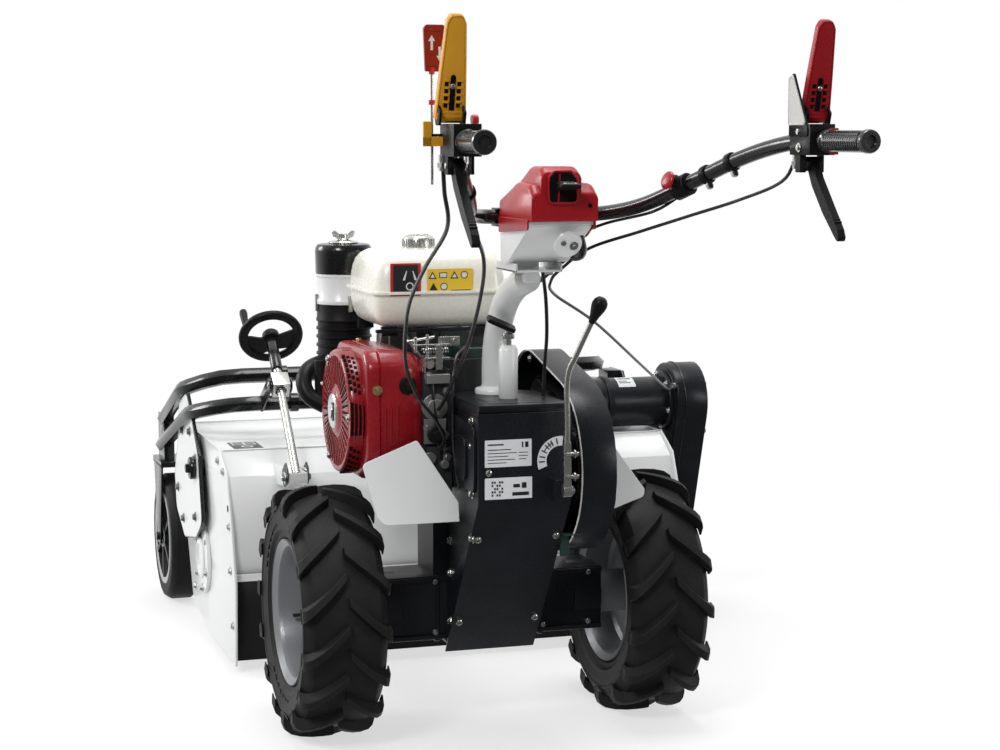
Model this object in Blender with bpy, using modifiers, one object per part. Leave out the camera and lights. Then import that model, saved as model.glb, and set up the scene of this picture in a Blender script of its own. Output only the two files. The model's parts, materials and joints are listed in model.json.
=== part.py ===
"""Brush mower: a two-wheel tractor with a flail deck in front.

Metres, +Z up, +Y is the way it drives and +X its right side. Every size below
is measured from the ground point under the middle of the drive axle, and the
empty "mower" carries that point to its place in the part's frame.
"""

from math import acos, atan2, cos, pi, radians, sin, tan

import bmesh
import bpy
from mathutils import Matrix, Vector

# Driving dimensions.
AXLE_FROM_ORIGIN = Vector((-0.135, -0.2008, 0.0))
GAP = 0.0004

WHEEL_RADIUS = 0.23
AXLE_HALF = 0.2222
WHEEL_X = 0.307
RIM_RADIUS = 0.134
LUGS = 15

PANEL_HALF = 0.086
PANEL_Y = -0.262
PANEL_TOP = 0.617
PANEL_FOLD = 0.455
PANEL_FOOT = (-0.052, 0.146)
TOWER_HALF = 0.082

CRANK = (0.03, 0.595)
GEARBOX_SHAFT = (-0.11, 0.5)
COVER_X = (0.104, 0.17)

SWIVEL = (0.0, -0.083)
BAR_RADIUS = 0.0125
GRIP_END = Vector((0.293, -0.97, 1.093))
GRIP_ROOT = Vector((0.2735, -0.76, 1.093))

SIGN_ROD = (-0.308, -0.76)

DECK_X = (-0.383, 0.598)
SIDE_SHEET = 0.004
ROTOR = (0.8, 0.18)
CARRIER_PIVOT = (0.8, 0.378)
CROSS_TUBE = (0.65, 0.505)
CASE_X = (0.63, 0.7)

GAUGE_RADIUS = 0.15
GAUGE_HALF = 0.035
GAUGE_AXLE = (1.23, 0.15)
GAUGE_X = (-0.38, 0.555)
HOOP_RADIUS = 0.0175
SCREW_FOOT = Vector((-0.262, 0.42, 0.41))
SCREW_NUT = Vector((-0.2476, 0.65, 0.5717))
SCREW_HEAD = Vector((-0.2395, 0.78, 0.663))

# Colour, roughness and metallic value of each finish.
BLACK_PAINT = ((0.012, 0.013, 0.016), 0.45, 0.0)
WHITE_PAINT = ((0.86, 0.86, 0.84), 0.32, 0.0)
CREAM_PLASTIC = ((0.8, 0.78, 0.7), 0.3, 0.0)
RED_PAINT = ((0.42, 0.008, 0.012), 0.3, 0.0)
RED_PLASTIC = ((0.62, 0.012, 0.015), 0.32, 0.0)
YELLOW_PLASTIC = ((0.72, 0.36, 0.015), 0.35, 0.0)
BLACK_PLASTIC = ((0.015, 0.015, 0.016), 0.5, 0.0)
RUBBER = ((0.02, 0.018, 0.017), 0.8, 0.0)
ALUMINIUM = ((0.5, 0.51, 0.5), 0.4, 0.9)
ZINC = ((0.6, 0.6, 0.58), 0.35, 0.9)
STEEL = ((0.35, 0.35, 0.36), 0.4, 0.9)

SIDES = (("left", -1), ("right", 1))
TURNS = {
    "X": Matrix(((0, 0, 1), (1, 0, 0), (0, 1, 0))).to_4x4(),
    "Y": Matrix(((1, 0, 0), (0, 0, -1), (0, 1, 0))).to_4x4(),
    "Z": Matrix.Identity(4),
}


def clear_scene():
    for old in list(bpy.data.objects):
        bpy.data.objects.remove(old)


def new_collection(name):
    collection = bpy.data.collections.new(name)
    bpy.context.scene.collection.children.link(collection)
    return collection


clear_scene()
PARTS = new_collection("brush_mower")
CUTTERS = new_collection("cutters")
MOWER = bpy.data.objects.new("mower", None)
MOWER.location = AXLE_FROM_ORIGIN
PARTS.objects.link(MOWER)


# Shapes: each function returns a closed mesh.


def mesh_of(bm):
    mesh = bpy.data.meshes.new("shape")
    bm.to_mesh(mesh)
    bm.free()
    return mesh


def aimed(start, toward):
    """The placement that puts +Z on the line from start toward the other point."""
    line = Vector(toward) - Vector(start)
    turn = Vector((0, 0, 1)).rotation_difference(line).to_matrix().to_4x4()
    return Matrix.Translation(start) @ turn


def box(low, high, turn=None):
    low, high = Vector(low), Vector(high)
    bm = bmesh.new()
    size = Matrix.Diagonal(high - low).to_4x4()
    centre = Matrix.Translation((low + high) / 2)
    bmesh.ops.create_cube(bm, size=1, matrix=centre @ (turn or Matrix.Identity(4)) @ size)
    return mesh_of(bm)


def rod(start, end, radius, end_radius=None, sides=20):
    start, end = Vector(start), Vector(end)
    length = (end - start).length
    bm = bmesh.new()
    bmesh.ops.create_cone(
        bm,
        cap_ends=True,
        segments=sides,
        radius1=radius,
        radius2=radius if end_radius is None else end_radius,
        depth=length,
        matrix=aimed(start, end) @ Matrix.Translation((0, 0, length / 2)),
    )
    return mesh_of(bm)


def rod_x(low, high, centre, radius, sides=20):
    """A cylinder along X between two x values, at centre (y, z)."""
    return rod((low, *centre), (high, *centre), radius, sides=sides)


def baked(helper):
    """The welded mesh of a helper object, which is then removed."""
    graph = bpy.context.evaluated_depsgraph_get()
    mesh = bpy.data.meshes.new_from_object(helper.evaluated_get(graph))
    mesh.transform(helper.matrix_world)
    bm = bmesh.new()
    bm.from_mesh(mesh)
    bmesh.ops.remove_doubles(bm, verts=bm.verts, dist=1e-5)
    bmesh.ops.recalc_face_normals(bm, faces=bm.faces)
    bm.to_mesh(mesh)
    bm.free()
    bpy.data.objects.remove(helper)
    return mesh


def curve_of(points, dimensions, closed):
    curve = bpy.data.curves.new("outline", "CURVE")
    curve.dimensions = dimensions
    spline = curve.splines.new("POLY")
    spline.points.add(len(points) - 1)
    for knot, point in zip(spline.points, points):
        knot.co = (*point, *([0] * (3 - len(point))), 1)
    spline.use_cyclic_u = closed
    return curve


def plate(outline, axis, low, high):
    """A flat outline, (y, z), (x, z) or (x, y), as thick as low to high along axis."""
    curve = curve_of(outline, "2D", True)
    curve.fill_mode = "BOTH"
    curve.extrude = (high - low) / 2
    helper = bpy.data.objects.new("plate", curve)
    CUTTERS.objects.link(helper)
    middle = (low + high) / 2 * (-1 if axis == "Y" else 1)
    helper.matrix_world = TURNS[axis] @ Matrix.Translation((0, 0, middle))
    return baked(helper)


def tube_curve(points, radius, resolution=2):
    curve = curve_of(points, "3D", False)
    curve.bevel_depth = radius
    curve.bevel_resolution = resolution
    curve.use_fill_caps = True
    return curve


def tube(points, radius, resolution=2):
    helper = bpy.data.objects.new("tube", tube_curve(points, radius, resolution))
    CUTTERS.objects.link(helper)
    return baked(helper)


def turned(profile, start, toward, steps=32):
    """A profile of (radius, height) turned round the line from start toward a point."""
    closed = profile[0][0] > 0
    mesh = bpy.data.meshes.new("profile")
    count = len(profile)
    edges = [(i, (i + 1) % count) for i in range(count if closed else count - 1)]
    mesh.from_pydata([(r, 0, h) for r, h in profile], edges, [])
    helper = bpy.data.objects.new("turned", mesh)
    CUTTERS.objects.link(helper)
    screw = helper.modifiers.new("Screw", "SCREW")
    screw.steps = screw.render_steps = steps
    screw.use_merge_vertices = True
    screw.merge_threshold = 0.0001
    helper.matrix_world = aimed(start, toward)
    return baked(helper)


def merged(*meshes):
    """Several closed meshes as one, for a cutter of separate pieces."""
    bm = bmesh.new()
    for mesh in meshes:
        bm.from_mesh(mesh)
    return mesh_of(bm)


def arc(centre, radius, first, last, steps):
    """Points round centre from the first to the last angle, in degrees."""
    angles = [radians(first + (last - first) * i / steps) for i in range(steps + 1)]
    return [(centre[0] + radius * cos(a), centre[1] + radius * sin(a)) for a in angles]


def hull(one, r_one, two, r_two, steps=12):
    """The outline of a belt stretched round two circles."""
    dx, dy = two[0] - one[0], two[1] - one[1]
    aim = atan2(dy, dx) * 180 / pi
    open_angle = acos((r_one - r_two) / (dx * dx + dy * dy) ** 0.5) * 180 / pi
    far = arc(one, r_one, aim + open_angle, aim + 360 - open_angle, steps)
    near = arc(two, r_two, aim - open_angle, aim + open_angle, steps)
    return far + near


def filleted(points, radius, steps=2):
    """The path with each inner corner rounded by an arc."""
    path = [Vector(p) for p in points]
    out = [path[0]]
    for before, corner, after in zip(path, path[1:], path[2:]):
        back, ahead = (before - corner).normalized(), (after - corner).normalized()
        room = 0.45 * min((before - corner).length, (after - corner).length)
        reach = min(radius / tan(back.angle(ahead) / 2), room)
        start, end = corner + back * reach, corner + ahead * reach
        for i in range(steps + 1):
            t = i / steps
            out.append(start.lerp(corner, t).lerp(corner.lerp(end, t), t))
    return out + [path[-1]]


def mirrored(points):
    return [(-x, y, z) for x, y, z in points]


# Parts, joins and cuts.


def finish_of(name, finish):
    colour, roughness, metallic = finish
    material = bpy.data.materials.new(name)
    material.use_nodes = True
    shader = material.node_tree.nodes["Principled BSDF"]
    shader.inputs["Base Color"].default_value = (*colour, 1)
    shader.inputs["Roughness"].default_value = roughness
    shader.inputs["Metallic"].default_value = metallic
    return material


def part(name, shape, finish, pivot=(0, 0, 0)):
    """A named part with its origin at pivot, the point its joint turns about."""
    shape.name = name
    shape.transform(Matrix.Translation(-Vector(pivot)))
    shape.materials.clear()
    shape.materials.append(finish_of(name, finish))
    if isinstance(shape, bpy.types.Mesh):
        shape.shade_smooth()
        shape.set_sharp_from_angle(angle=radians(35))
    made = bpy.data.objects.new(name, shape)
    made.parent = MOWER
    made.location = pivot
    PARTS.objects.link(made)
    return made


def boolean(base, shape, operation):
    shape.transform(Matrix.Translation(-base.location))
    helper = bpy.data.objects.new(f"{base.name}_{operation.lower()}", shape)
    helper.parent = base
    helper.hide_render = True
    helper.display_type = "WIRE"
    CUTTERS.objects.link(helper)
    modifier = base.modifiers.new(operation.title(), "BOOLEAN")
    modifier.operation = operation
    modifier.object = helper
    return base


def join(base, *shapes):
    for shape in shapes:
        boolean(base, shape, "UNION")
    return base


def cut(base, *shapes):
    for shape in shapes:
        boolean(base, shape, "DIFFERENCE")
    return base


def bevelled(made, width, segments=2):
    bevel = made.modifiers.new("Bevel", "BEVEL")
    bevel.width = width
    bevel.segments = segments
    bevel.limit_method = "ANGLE"
    return made


# Tractor: transaxle, panel and plates.


def transaxle():
    slope = (PANEL_FOOT[0] - PANEL_Y, PANEL_FOOT[1] - PANEL_FOLD)
    long = (slope[0] ** 2 + slope[1] ** 2) ** 0.5
    inward = (-slope[1] / long * 0.0055, slope[0] / long * 0.0055)
    foot = (PANEL_FOOT[0] + inward[0], PANEL_FOOT[1] + inward[1] + 0.012)
    fold = (PANEL_Y + 0.0048, PANEL_FOLD + 0.002)
    outline = [
        (PANEL_Y + 0.0048, 0.6105), fold, foot, (0.11, foot[1]), (0.13, 0.2),
        (0.13, 0.455), (-0.0475, 0.455), (-0.0475, 0.6105),
    ]
    body = part("transaxle_housing", plate(outline, "X", -TOWER_HALF, TOWER_HALF), BLACK_PAINT)
    join(
        body,
        box((-AXLE_HALF, -0.05, 0.17), (AXLE_HALF, 0.065, 0.29)),
        rod((0, 0.1, 0.381), (0, 0.2, 0.4078), 0.05),
        rod((0, 0.189, 0.4049), (0, 0.2014, 0.4082), 0.062),
    )


def rear_panel():
    outline = [
        (PANEL_Y, PANEL_TOP), (PANEL_Y, PANEL_FOLD), PANEL_FOOT,
        (PANEL_FOOT[0] + 0.0034, PANEL_FOOT[1] + 0.0023),
        (PANEL_Y + 0.004, PANEL_FOLD + 0.0013), (PANEL_Y + 0.004, PANEL_TOP),
    ]
    panel = part("rear_panel", plate(outline, "X", -PANEL_HALF, PANEL_HALF), BLACK_PAINT)
    join(panel, box((0.045, -0.292, 0.462), (0.057, PANEL_Y + 0.002, 0.5)))


def top_plate():
    rear, front = PANEL_Y + 0.0046, -0.042
    plan = [(-0.084, rear), (0.084, rear), (0.084, front - 0.03), (0.05, front)]
    plan += [(-0.05, front), (-0.084, front - 0.03)]
    lid = part("top_plate", plate(plan, "Z", 0.611, 0.631), BLACK_PAINT)
    slot = arc(SWIVEL, 0.091, 238, 302, 8) + arc(SWIVEL, 0.073, 302, 238, 8)
    cut(lid, plate(slot, "Z", 0.615, 0.64))


def mudguards():
    lean = Matrix.Rotation(radians(-13), 4, "X")
    plans = {
        "left": [(-0.262, 0.521), (-0.158, 0.56), (-0.0885, 0.445), (-0.0885, 0.41),
                 (-0.228, 0.41), (-0.24, 0.425)],
        "right": [(0.1708, 0.41), (0.228, 0.41), (0.24, 0.425), (0.262, 0.521),
                  (0.1708, 0.555)],
    }
    for side, plan in plans.items():
        sheet = plate(plan, "Y", -0.0015, 0.0015)
        sheet.transform(Matrix.Translation((0, -0.155, 0.41)) @ lean @ Matrix.Translation((0, 0, -0.41)))
        guard = part(f"mudguard_{side}", sheet, WHITE_PAINT)
        if side == "left":
            join(guard, box((-0.105, -0.158, 0.415), (-0.0825, -0.13, 0.435)))


def gear_lever():
    pivot = (0.064, -0.298, 0.481)
    lever = part("gear_lever", rod((0.0575, *pivot[1:]), (0.07, *pivot[1:]), 0.011), ZINC, pivot)
    path = [(0.064, -0.3, 0.481), (0.065, -0.3, 0.694), (0.098, -0.355, 0.8)]
    join(
        lever,
        tube(filleted(path, 0.03), 0.0045, 1),
        rod((0.094, -0.349, 0.788), (0.104, -0.366, 0.824), 0.011, 0.013, sides=12),
    )


# Engine.


def engine():
    mount = part("engine_mount", box((-0.135, -0.047, 0.4555), (0.075, 0.155, 0.4705)), STEEL)
    join(
        mount,
        box((-0.135, -0.103, 0.4555), (-0.0875, -0.04, 0.4705)),
        box((-0.135, -0.105, 0.405), (-0.0875, -0.1, 0.54)),
    )
    cut(mount, box((-0.117, -0.12, 0.43), (-0.105, -0.09, 0.45)))
    case = part("crankcase", box((-0.139, -0.035, 0.471), (0.02, 0.15, 0.69)), ALUMINIUM)
    join(
        case,
        box((-0.139, -0.098, 0.5), (-0.0875, 0, 0.68)),
        box((-0.12, 0.13, 0.555), (0.01, 0.27, 0.685), Matrix.Rotation(radians(25), 4, "X")),
        box((-0.12, 0.02, 0.68), (-0.09, 0.05, 0.7445)),
        box((-0.01, 0.02, 0.68), (0.019, 0.05, 0.7445)),
    )
    part("muffler", box((0.0215, 0.155, 0.6), (0.098, 0.255, 0.725)), BLACK_PAINT)


def blower():
    outline = [
        (-0.105, 0.525), (-0.1, 0.69), (-0.075, 0.716), (0.13, 0.716), (0.155, 0.69),
        (0.155, 0.56), (0.125, 0.5), (0.07, 0.475), (-0.03, 0.475), (-0.085, 0.497),
    ]
    bevelled(part("blower_shroud", plate(outline, "X", -0.2446, -0.1395), RED_PAINT), 0.008)
    profile = [(0, 0.036), (0.035, 0.036), (0.045, 0.028), (0.108, 0.028), (0.116, 0.018),
               (0.116, 0), (0, 0)]
    start = (-0.245, *CRANK)
    part("recoil_cover", turned(profile, start, (-1, *CRANK)), RED_PAINT)
    home = (-0.266, 0.17, 0.63)
    bar = rod((-0.266, 0.17, 0.585), (-0.266, 0.183, 0.672), 0.012)
    grip = part("recoil_handle", bar, BLACK_PLASTIC, home)
    join(grip, rod((-0.266, 0.15, 0.63), (-0.266, 0.174, 0.63), 0.006, sides=12))


def tank():
    body = part("fuel_tank", box((-0.2, 0, 0.745), (0.055, 0.235, 0.888)), CREAM_PLASTIC)
    bevelled(body, 0.026, 3)
    join(
        body,
        box((-0.206, -0.006, 0.809), (0.061, 0.241, 0.815)),
        rod((-0.09, 0.11, 0.88), (-0.09, 0.11, 0.9), 0.021),
    )
    profile = [(0, 0.025), (0.028, 0.025), (0.031, 0.021), (0.031, 0), (0.0218, 0),
               (0.0218, 0.0125), (0, 0.0125)]
    centre = (-0.09, 0.11, 0.8885)
    part("fuel_cap", turned(profile, centre, (-0.09, 0.11, 1), 24), ALUMINIUM, centre)


def air_cleaner():
    x, y = -0.19, 0.301
    body = part("air_cleaner", rod((x, y, 0.645), (x, y, 0.775), 0.054, sides=24), BLACK_PLASTIC)
    join(
        body,
        rod((x, y, 0.69), (-0.1265, 0.264, 0.657), 0.021, sides=16),
        rod((x, y, 0.77), (x, y, 0.8296), 0.0525, sides=24),
    )
    part("air_cleaner_cap", rod((x, y, 0.83), (x, y, 0.888), 0.0555, 0.054, sides=24), BLACK_PLASTIC)
    nut = part("wing_nut", rod((x, y, 0.8884), (x, y, 0.894), 0.03), ZINC, (x, y, 0.8884))
    join(nut, rod((x, y, 0.89), (x, y, 0.908), 0.008, sides=12),
         box((x - 0.02, y - 0.002, 0.897), (x + 0.02, y + 0.002, 0.914)))


# Belt drive on the tractor's right.


def belt_drive():
    low, high = COVER_X
    upper = (0.04, 0.595)
    cover = part("belt_cover", plate(hull(GEARBOX_SHAFT, 0.16, upper, 0.1, 16), "X", low, high), BLACK_PAINT)
    cut(cover, plate(hull(GEARBOX_SHAFT, 0.157, upper, 0.097, 16), "X", low - 0.01, high - 0.003))
    for angle in (250, 290):
        y, z = arc(GEARBOX_SHAFT, 0.15, angle, angle, 1)[0]
        join(cover, rod_x(TOWER_HALF + GAP, high - 0.001, (y, z), 0.011, 12))
    crank = part("engine_pulley", rod_x(0.0204, 0.152, CRANK, 0.0125), STEEL, (0.13, *CRANK))
    join(crank, rod_x(0.12, 0.15, CRANK, 0.045, 24))
    gear = part("gearbox_pulley", rod_x(0.0826, 0.152, GEARBOX_SHAFT, 0.0125), STEEL, (0.13, *GEARBOX_SHAFT))
    join(gear, rod_x(0.12, 0.15, GEARBOX_SHAFT, 0.095, 32))
    loop = plate(hull(GEARBOX_SHAFT, 0.1035, CRANK, 0.0535, 16), "X", 0.126, 0.144)
    belt = part("drive_belt", loop, RUBBER)
    cut(belt, plate(hull(GEARBOX_SHAFT, 0.0958, CRANK, 0.0458, 16), "X", 0.12, 0.15))


# Steering column and console.


def column():
    path = [(0, -0.083, 0.634), (0, -0.086, 0.7), (0, -0.105, 0.75), (0, -0.15, 0.802),
            (0, -0.205, 0.833), (0, -0.275, 0.853)]
    post = part("column", tube(path, 0.024), WHITE_PAINT, (*SWIVEL, 0.6315))
    lock_low, lock_high = (0, -0.165, 0.6318), (0, -0.165, 0.727)
    join(
        post,
        rod((*SWIVEL, 0.6315), (*SWIVEL, 0.641), 0.036),
        box((-0.006, -0.15, 0.6318), (0.006, -0.095, 0.69)),
        rod(lock_low, lock_high, 0.017),
        box((-0.042, -0.338, 0.868), (0.042, -0.2275, 0.8836)),
        box((-0.03, -0.2485, 0.87), (0.03, -0.241, 0.975)),
    )
    cut(post, rod((0, -0.165, 0.6), (0, -0.165, 0.8), 0.0075, sides=16))
    stem = rod((0, -0.165, 0.617), (0, -0.165, 0.758), 0.0065, sides=16)
    pin = part("lock_plunger", stem, ZINC, (0, -0.165, 0.727))
    tilt = Matrix.Rotation(radians(-14), 4, "Y")
    join(pin, box((-0.032, -0.181, 0.75), (0.018, -0.164, 0.766), tilt))


def console():
    outline = [(-0.276, 0.884), (-0.315, 0.884), (-0.432, 0.95), (-0.432, 0.958), (-0.276, 0.958)]
    part("console_box", plate(outline, "X", -0.05, 0.06), WHITE_PAINT)
    top = [(-0.278, 0.9585), (-0.452, 0.9585), (-0.455, 1.015), (-0.43, 1.044), (-0.36, 1.044),
           (-0.278, 1.0)]
    cover = bevelled(part("console_cover", plate(top, "X", -0.055, 0.065), RED_PLASTIC), 0.006)
    cut(cover, box((-0.017, -0.47, 0.995), (0.027, -0.32, 1.06)))
    pivot = (0.005, -0.345, 1.015)
    wedge = [(-0.335, 1.005), (-0.335, 1.025), (-0.38, 1.03), (-0.488, 1.022), (-0.488, 1.014), (-0.38, 1.0)]
    part("throttle_lever", plate(wedge, "X", -0.013, 0.023), BLACK_PLASTIC, pivot)


BAR_HALF = [(0.03, -0.262, 0.96), (0.082, -0.262, 0.961), (0.125, -0.33, 0.967), (0.153, -0.44, 0.984),
            (0.24, -0.655, 1.07), tuple(GRIP_ROOT), tuple(GRIP_END)]


def handlebar():
    path = mirrored(BAR_HALF)[::-1] + BAR_HALF
    part("handlebar", tube(filleted(path, 0.06), BAR_RADIUS), BLACK_PAINT)
    for side, sign in SIDES:
        mirror = Matrix.Diagonal((sign, 1, 1))
        end, root = mirror @ GRIP_END, mirror @ GRIP_ROOT
        line = (end - root).normalized()
        start = end - line * 0.118
        profile = [(0.0129, 0), (0.0129, 0.1186), (0, 0.1186), (0, 0.124), (0.0165, 0.124),
                   (0.0178, 0.12), (0.0178, 0.114), (0.0152, 0.112), (0.0148, 0.006), (0.0178, 0.004),
                   (0.0178, 0)]
        part(f"grip_{side}", turned_cup(profile, start, end), RUBBER)
        controls(side, sign, root, end)


def turned_cup(profile, start, toward):
    """A turned piece whose wall runs from the axis, round the outside and back."""
    order = profile[3:] + profile[:3]
    return turned(order, start, toward, 16)


def controls(side, sign, root, end):
    """Perch, upper paddle lever and lower curved lever of one grip."""
    line = (end - root).normalized()
    x = sign * 0.279
    block = box((x - 0.021, -0.846, 1.0715), (x + 0.021, -0.775, 1.1185))
    perch = part(f"perch_{side}", block, BLACK_PLASTIC)
    if side == "left":
        join(perch, box((-0.317, -0.785, 1.09), (x - 0.0195, -0.751, 1.104)))
        cut(perch, rod((*SIGN_ROD, 1.0), (*SIGN_ROD, 1.2), 0.0045, sides=12))
    else:
        guard = [(-0.776, 1.1), (-0.776, 1.19), (-0.79, 1.195), (-0.84, 1.112), (-0.84, 1.1)]
        join(perch, plate(guard, "X", x - 0.0235, x - 0.0195))
    cut(perch, rod(root, root + line * 0.15, BAR_RADIUS + 0.0005))
    pivot = (x + sign * 0.0115, -0.792, 1.13)
    finish = YELLOW_PLASTIC if side == "left" else RED_PLASTIC
    face = [(-0.014, 1.128), (0.014, 1.128), (0.0175, 1.2), (0.0145, 1.268), (0.0085, 1.279),
            (-0.0085, 1.279), (-0.0145, 1.268), (-0.0175, 1.2)]
    paddle = plate([(px, pz - 1.13) for px, pz in face], "Y", -0.0065, 0.0065)
    paddle.transform(Matrix.Translation(pivot) @ Matrix.Rotation(radians(14), 4, "X"))
    hub = rod_x(pivot[0] - 0.016, pivot[0] + 0.016, pivot[1:], 0.0105, 16)
    join(part(f"upper_lever_{side}", hub, finish, pivot), paddle)
    x += sign * 0.0055
    low = (x, -0.802, 1.058)
    curve = [(-0.792, 1.058), (-0.812, 1.025), (-0.85, 0.985), (-0.892, 0.95), (-0.902, 0.943),
             (-0.906, 0.95), (-0.9, 0.962), (-0.862, 1.002), (-0.828, 1.038), (-0.813, 1.063)]
    squeeze = rod_x(x - 0.008, x + 0.008, low[1:], 0.0115, 16)
    join(part(f"lower_lever_{side}", squeeze, BLACK_PLASTIC, low), plate(curve, "X", x - 0.0065, x + 0.0065))


def small_controls():
    """The reverse pull rod with its sign, and the stop switch."""
    x, y = SIGN_ROD
    pull = part("direction_rod", rod((x, y, 1.03), (x, y, 1.2), 0.0035, sides=12), STEEL, (x, y, 1.03))
    join(
        pull,
        box((x - 0.013, y - 0.0015, 1.194), (x + 0.021, y + 0.0015, 1.262)),
        rod((x, y, 1.048), (x, y, 1.06), 0.0065, sides=12),
    )
    low, high = Vector(BAR_HALF[3]), Vector(BAR_HALF[4])
    along = (high - low).normalized()
    seat = low + along * 0.095
    face = Vector((-0.7, -0.3, 0.3))
    face = (face - along * face.dot(along)).normalized()
    body = part("switch_body", rod(seat - along * 0.016, seat + along * 0.016, 0.019), BLACK_PLASTIC)
    join(body, rod(seat + face * 0.015, seat + face * 0.026, 0.014))
    cut(body, rod(seat - along * 0.03, seat + along * 0.03, BAR_RADIUS + 0.0006))
    cut(body, rod(seat + face * 0.0215, seat + face * 0.03, 0.0086, sides=16))
    foot = seat + face * 0.0305
    button = part("stop_button", rod(seat + face * 0.0264, foot, 0.008, sides=16), RED_PLASTIC, foot)
    join(button, rod(foot, seat + face * 0.038, 0.0155, 0.012))


# Drive wheels.


def drive_wheels():
    for side, sign in SIDES:
        x = sign * WHEEL_X
        centre, outward = (x, 0, WHEEL_RADIUS), (x + sign, 0, WHEEL_RADIUS)
        hub = AXLE_HALF + GAP - WHEEL_X
        rim = [(0, 0.03), (0.035, 0.03), (0.045, 0.006), (0.118, 0), (0.118, 0.064), (RIM_RADIUS, 0.064),
               (0.1235, 0.05), (0.1235, -0.05), (RIM_RADIUS, -0.064), (0.118, -0.064), (0.118, -0.02),
               (0.04, -0.012), (0.04, hub), (0, hub)]
        part(f"wheel_rim_{side}", turned(rim, centre, outward, 24), ALUMINIUM, centre)
        carcass = [(RIM_RADIUS + 0.0006, 0.062), (0.185, 0.074), (0.207, 0.064), (0.2145, 0),
                   (0.207, -0.064), (0.185, -0.074), (RIM_RADIUS + 0.0006, -0.062)]
        tyre = part(f"tyre_{side}", turned(carcass, centre, outward, 24), RUBBER, centre)
        join(tyre, merged(*[lug(x, step, half) for step in range(LUGS) for half in (-1, 1)]))


def lug(x, step, half):
    """One slanted tread bar, on the inner or outer half of the tyre."""
    angle = 2 * pi * (step + (0.5 if half > 0 else 0)) / LUGS
    bar = box((-0.044, -0.0085, -0.012), (0.044, 0.0085, 0.0115))
    slant = Matrix.Rotation(radians(-38) * half, 4, "Z")
    out = Matrix.Translation((half * 0.0405, 0, WHEEL_RADIUS - 0.0182))
    droop = Matrix.Rotation(radians(9) * half, 4, "Y")
    spin = Matrix.Rotation(angle, 4, "X")
    bar.transform(Matrix.Translation((x, 0, WHEEL_RADIUS)) @ spin @ out @ droop @ slant)
    return bar


# Mower deck.


def deck():
    roof = [(0.4815, 0.2), (0.4815, 0.25), (0.533, 0.398), (0.6, 0.4425), (1.05, 0.4425), (1.1, 0.335)]
    inner = [(1.0965, 0.335), (1.048, 0.4395), (0.601, 0.4395), (0.5355, 0.396), (0.4845, 0.2495),
             (0.4845, 0.2)]
    left, right = DECK_X
    shell = part("deck", plate(roof + inner, "X", left - 0.001, right + 0.001), WHITE_PAINT)
    side = [(0.45, 0.02), (0.44, 0.19), (0.478, 0.3), (0.53, 0.408), (0.6, 0.4455), (1.055, 0.4455),
            (1.104, 0.33), (1.04, 0.2), (0.97, 0.064), (0.8, 0.02)]
    join(
        shell,
        plate(side, "X", left - SIDE_SHEET, left),
        plate(side, "X", right, right + SIDE_SHEET),
        rod_x(left - 0.028, left - 0.001, CARRIER_PIVOT, 0.01),
        rod_x(right + 0.001, right + 0.024, CARRIER_PIVOT, 0.01),
    )
    ear = hull((0.552, 0.398), 0.022, (SCREW_FOOT.y, SCREW_FOOT.z), 0.018, 6)
    for x in (SCREW_FOOT.x - 0.021, SCREW_FOOT.x + 0.018):
        join(shell, plate(ear, "X", x, x + 0.003))
    join(shell, box((SCREW_FOOT.x - 0.02, 0.403, 0.4), (SCREW_FOOT.x + 0.02, 0.409, 0.42)))
    cut(
        shell,
        rod_x(left - 0.02, left + 0.02, ROTOR, 0.0215),
        rod_x(right - 0.02, right + 0.02, ROTOR, 0.0215),
    )
    flap_pivot = (0.107, 0.475, 0.197)
    part("rear_flap", box((left + 0.002, 0.4725, 0.025), (right - 0.002, 0.4775, 0.1995)), RUBBER, flap_pivot)
    flange = part("bearing_flange", rod_x(left - 0.0125, left - SIDE_SHEET - GAP, ROTOR, 0.078, 32), ZINC)
    join(flange, rod_x(left - 0.0148, left - 0.01, ROTOR, 0.03))


def rotor():
    left, right = DECK_X
    shaft = part("rotor", rod_x(left - 0.003, CASE_X[1] - 0.014, ROTOR, 0.02), STEEL, (0.107, *ROTOR))
    join(shaft, rod_x(left + 0.006, right - 0.006, ROTOR, 0.05, 14),
         rod_x(CASE_X[0] + 0.014, CASE_X[1] - 0.014, ROTOR, 0.09, 24))
    blades = []
    for row in range(4):
        for step in range(6):
            x = left + 0.055 + (step + row / 4) * 0.15
            blade = box((-0.016, -0.004, 0.045), (0.016, 0.004, 0.145))
            turn = Matrix.Rotation(radians(90 * row + 35), 4, "X")
            blade.transform(Matrix.Translation((x, *ROTOR)) @ turn)
            blades.append(blade)
    join(shaft, merged(*blades))


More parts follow.
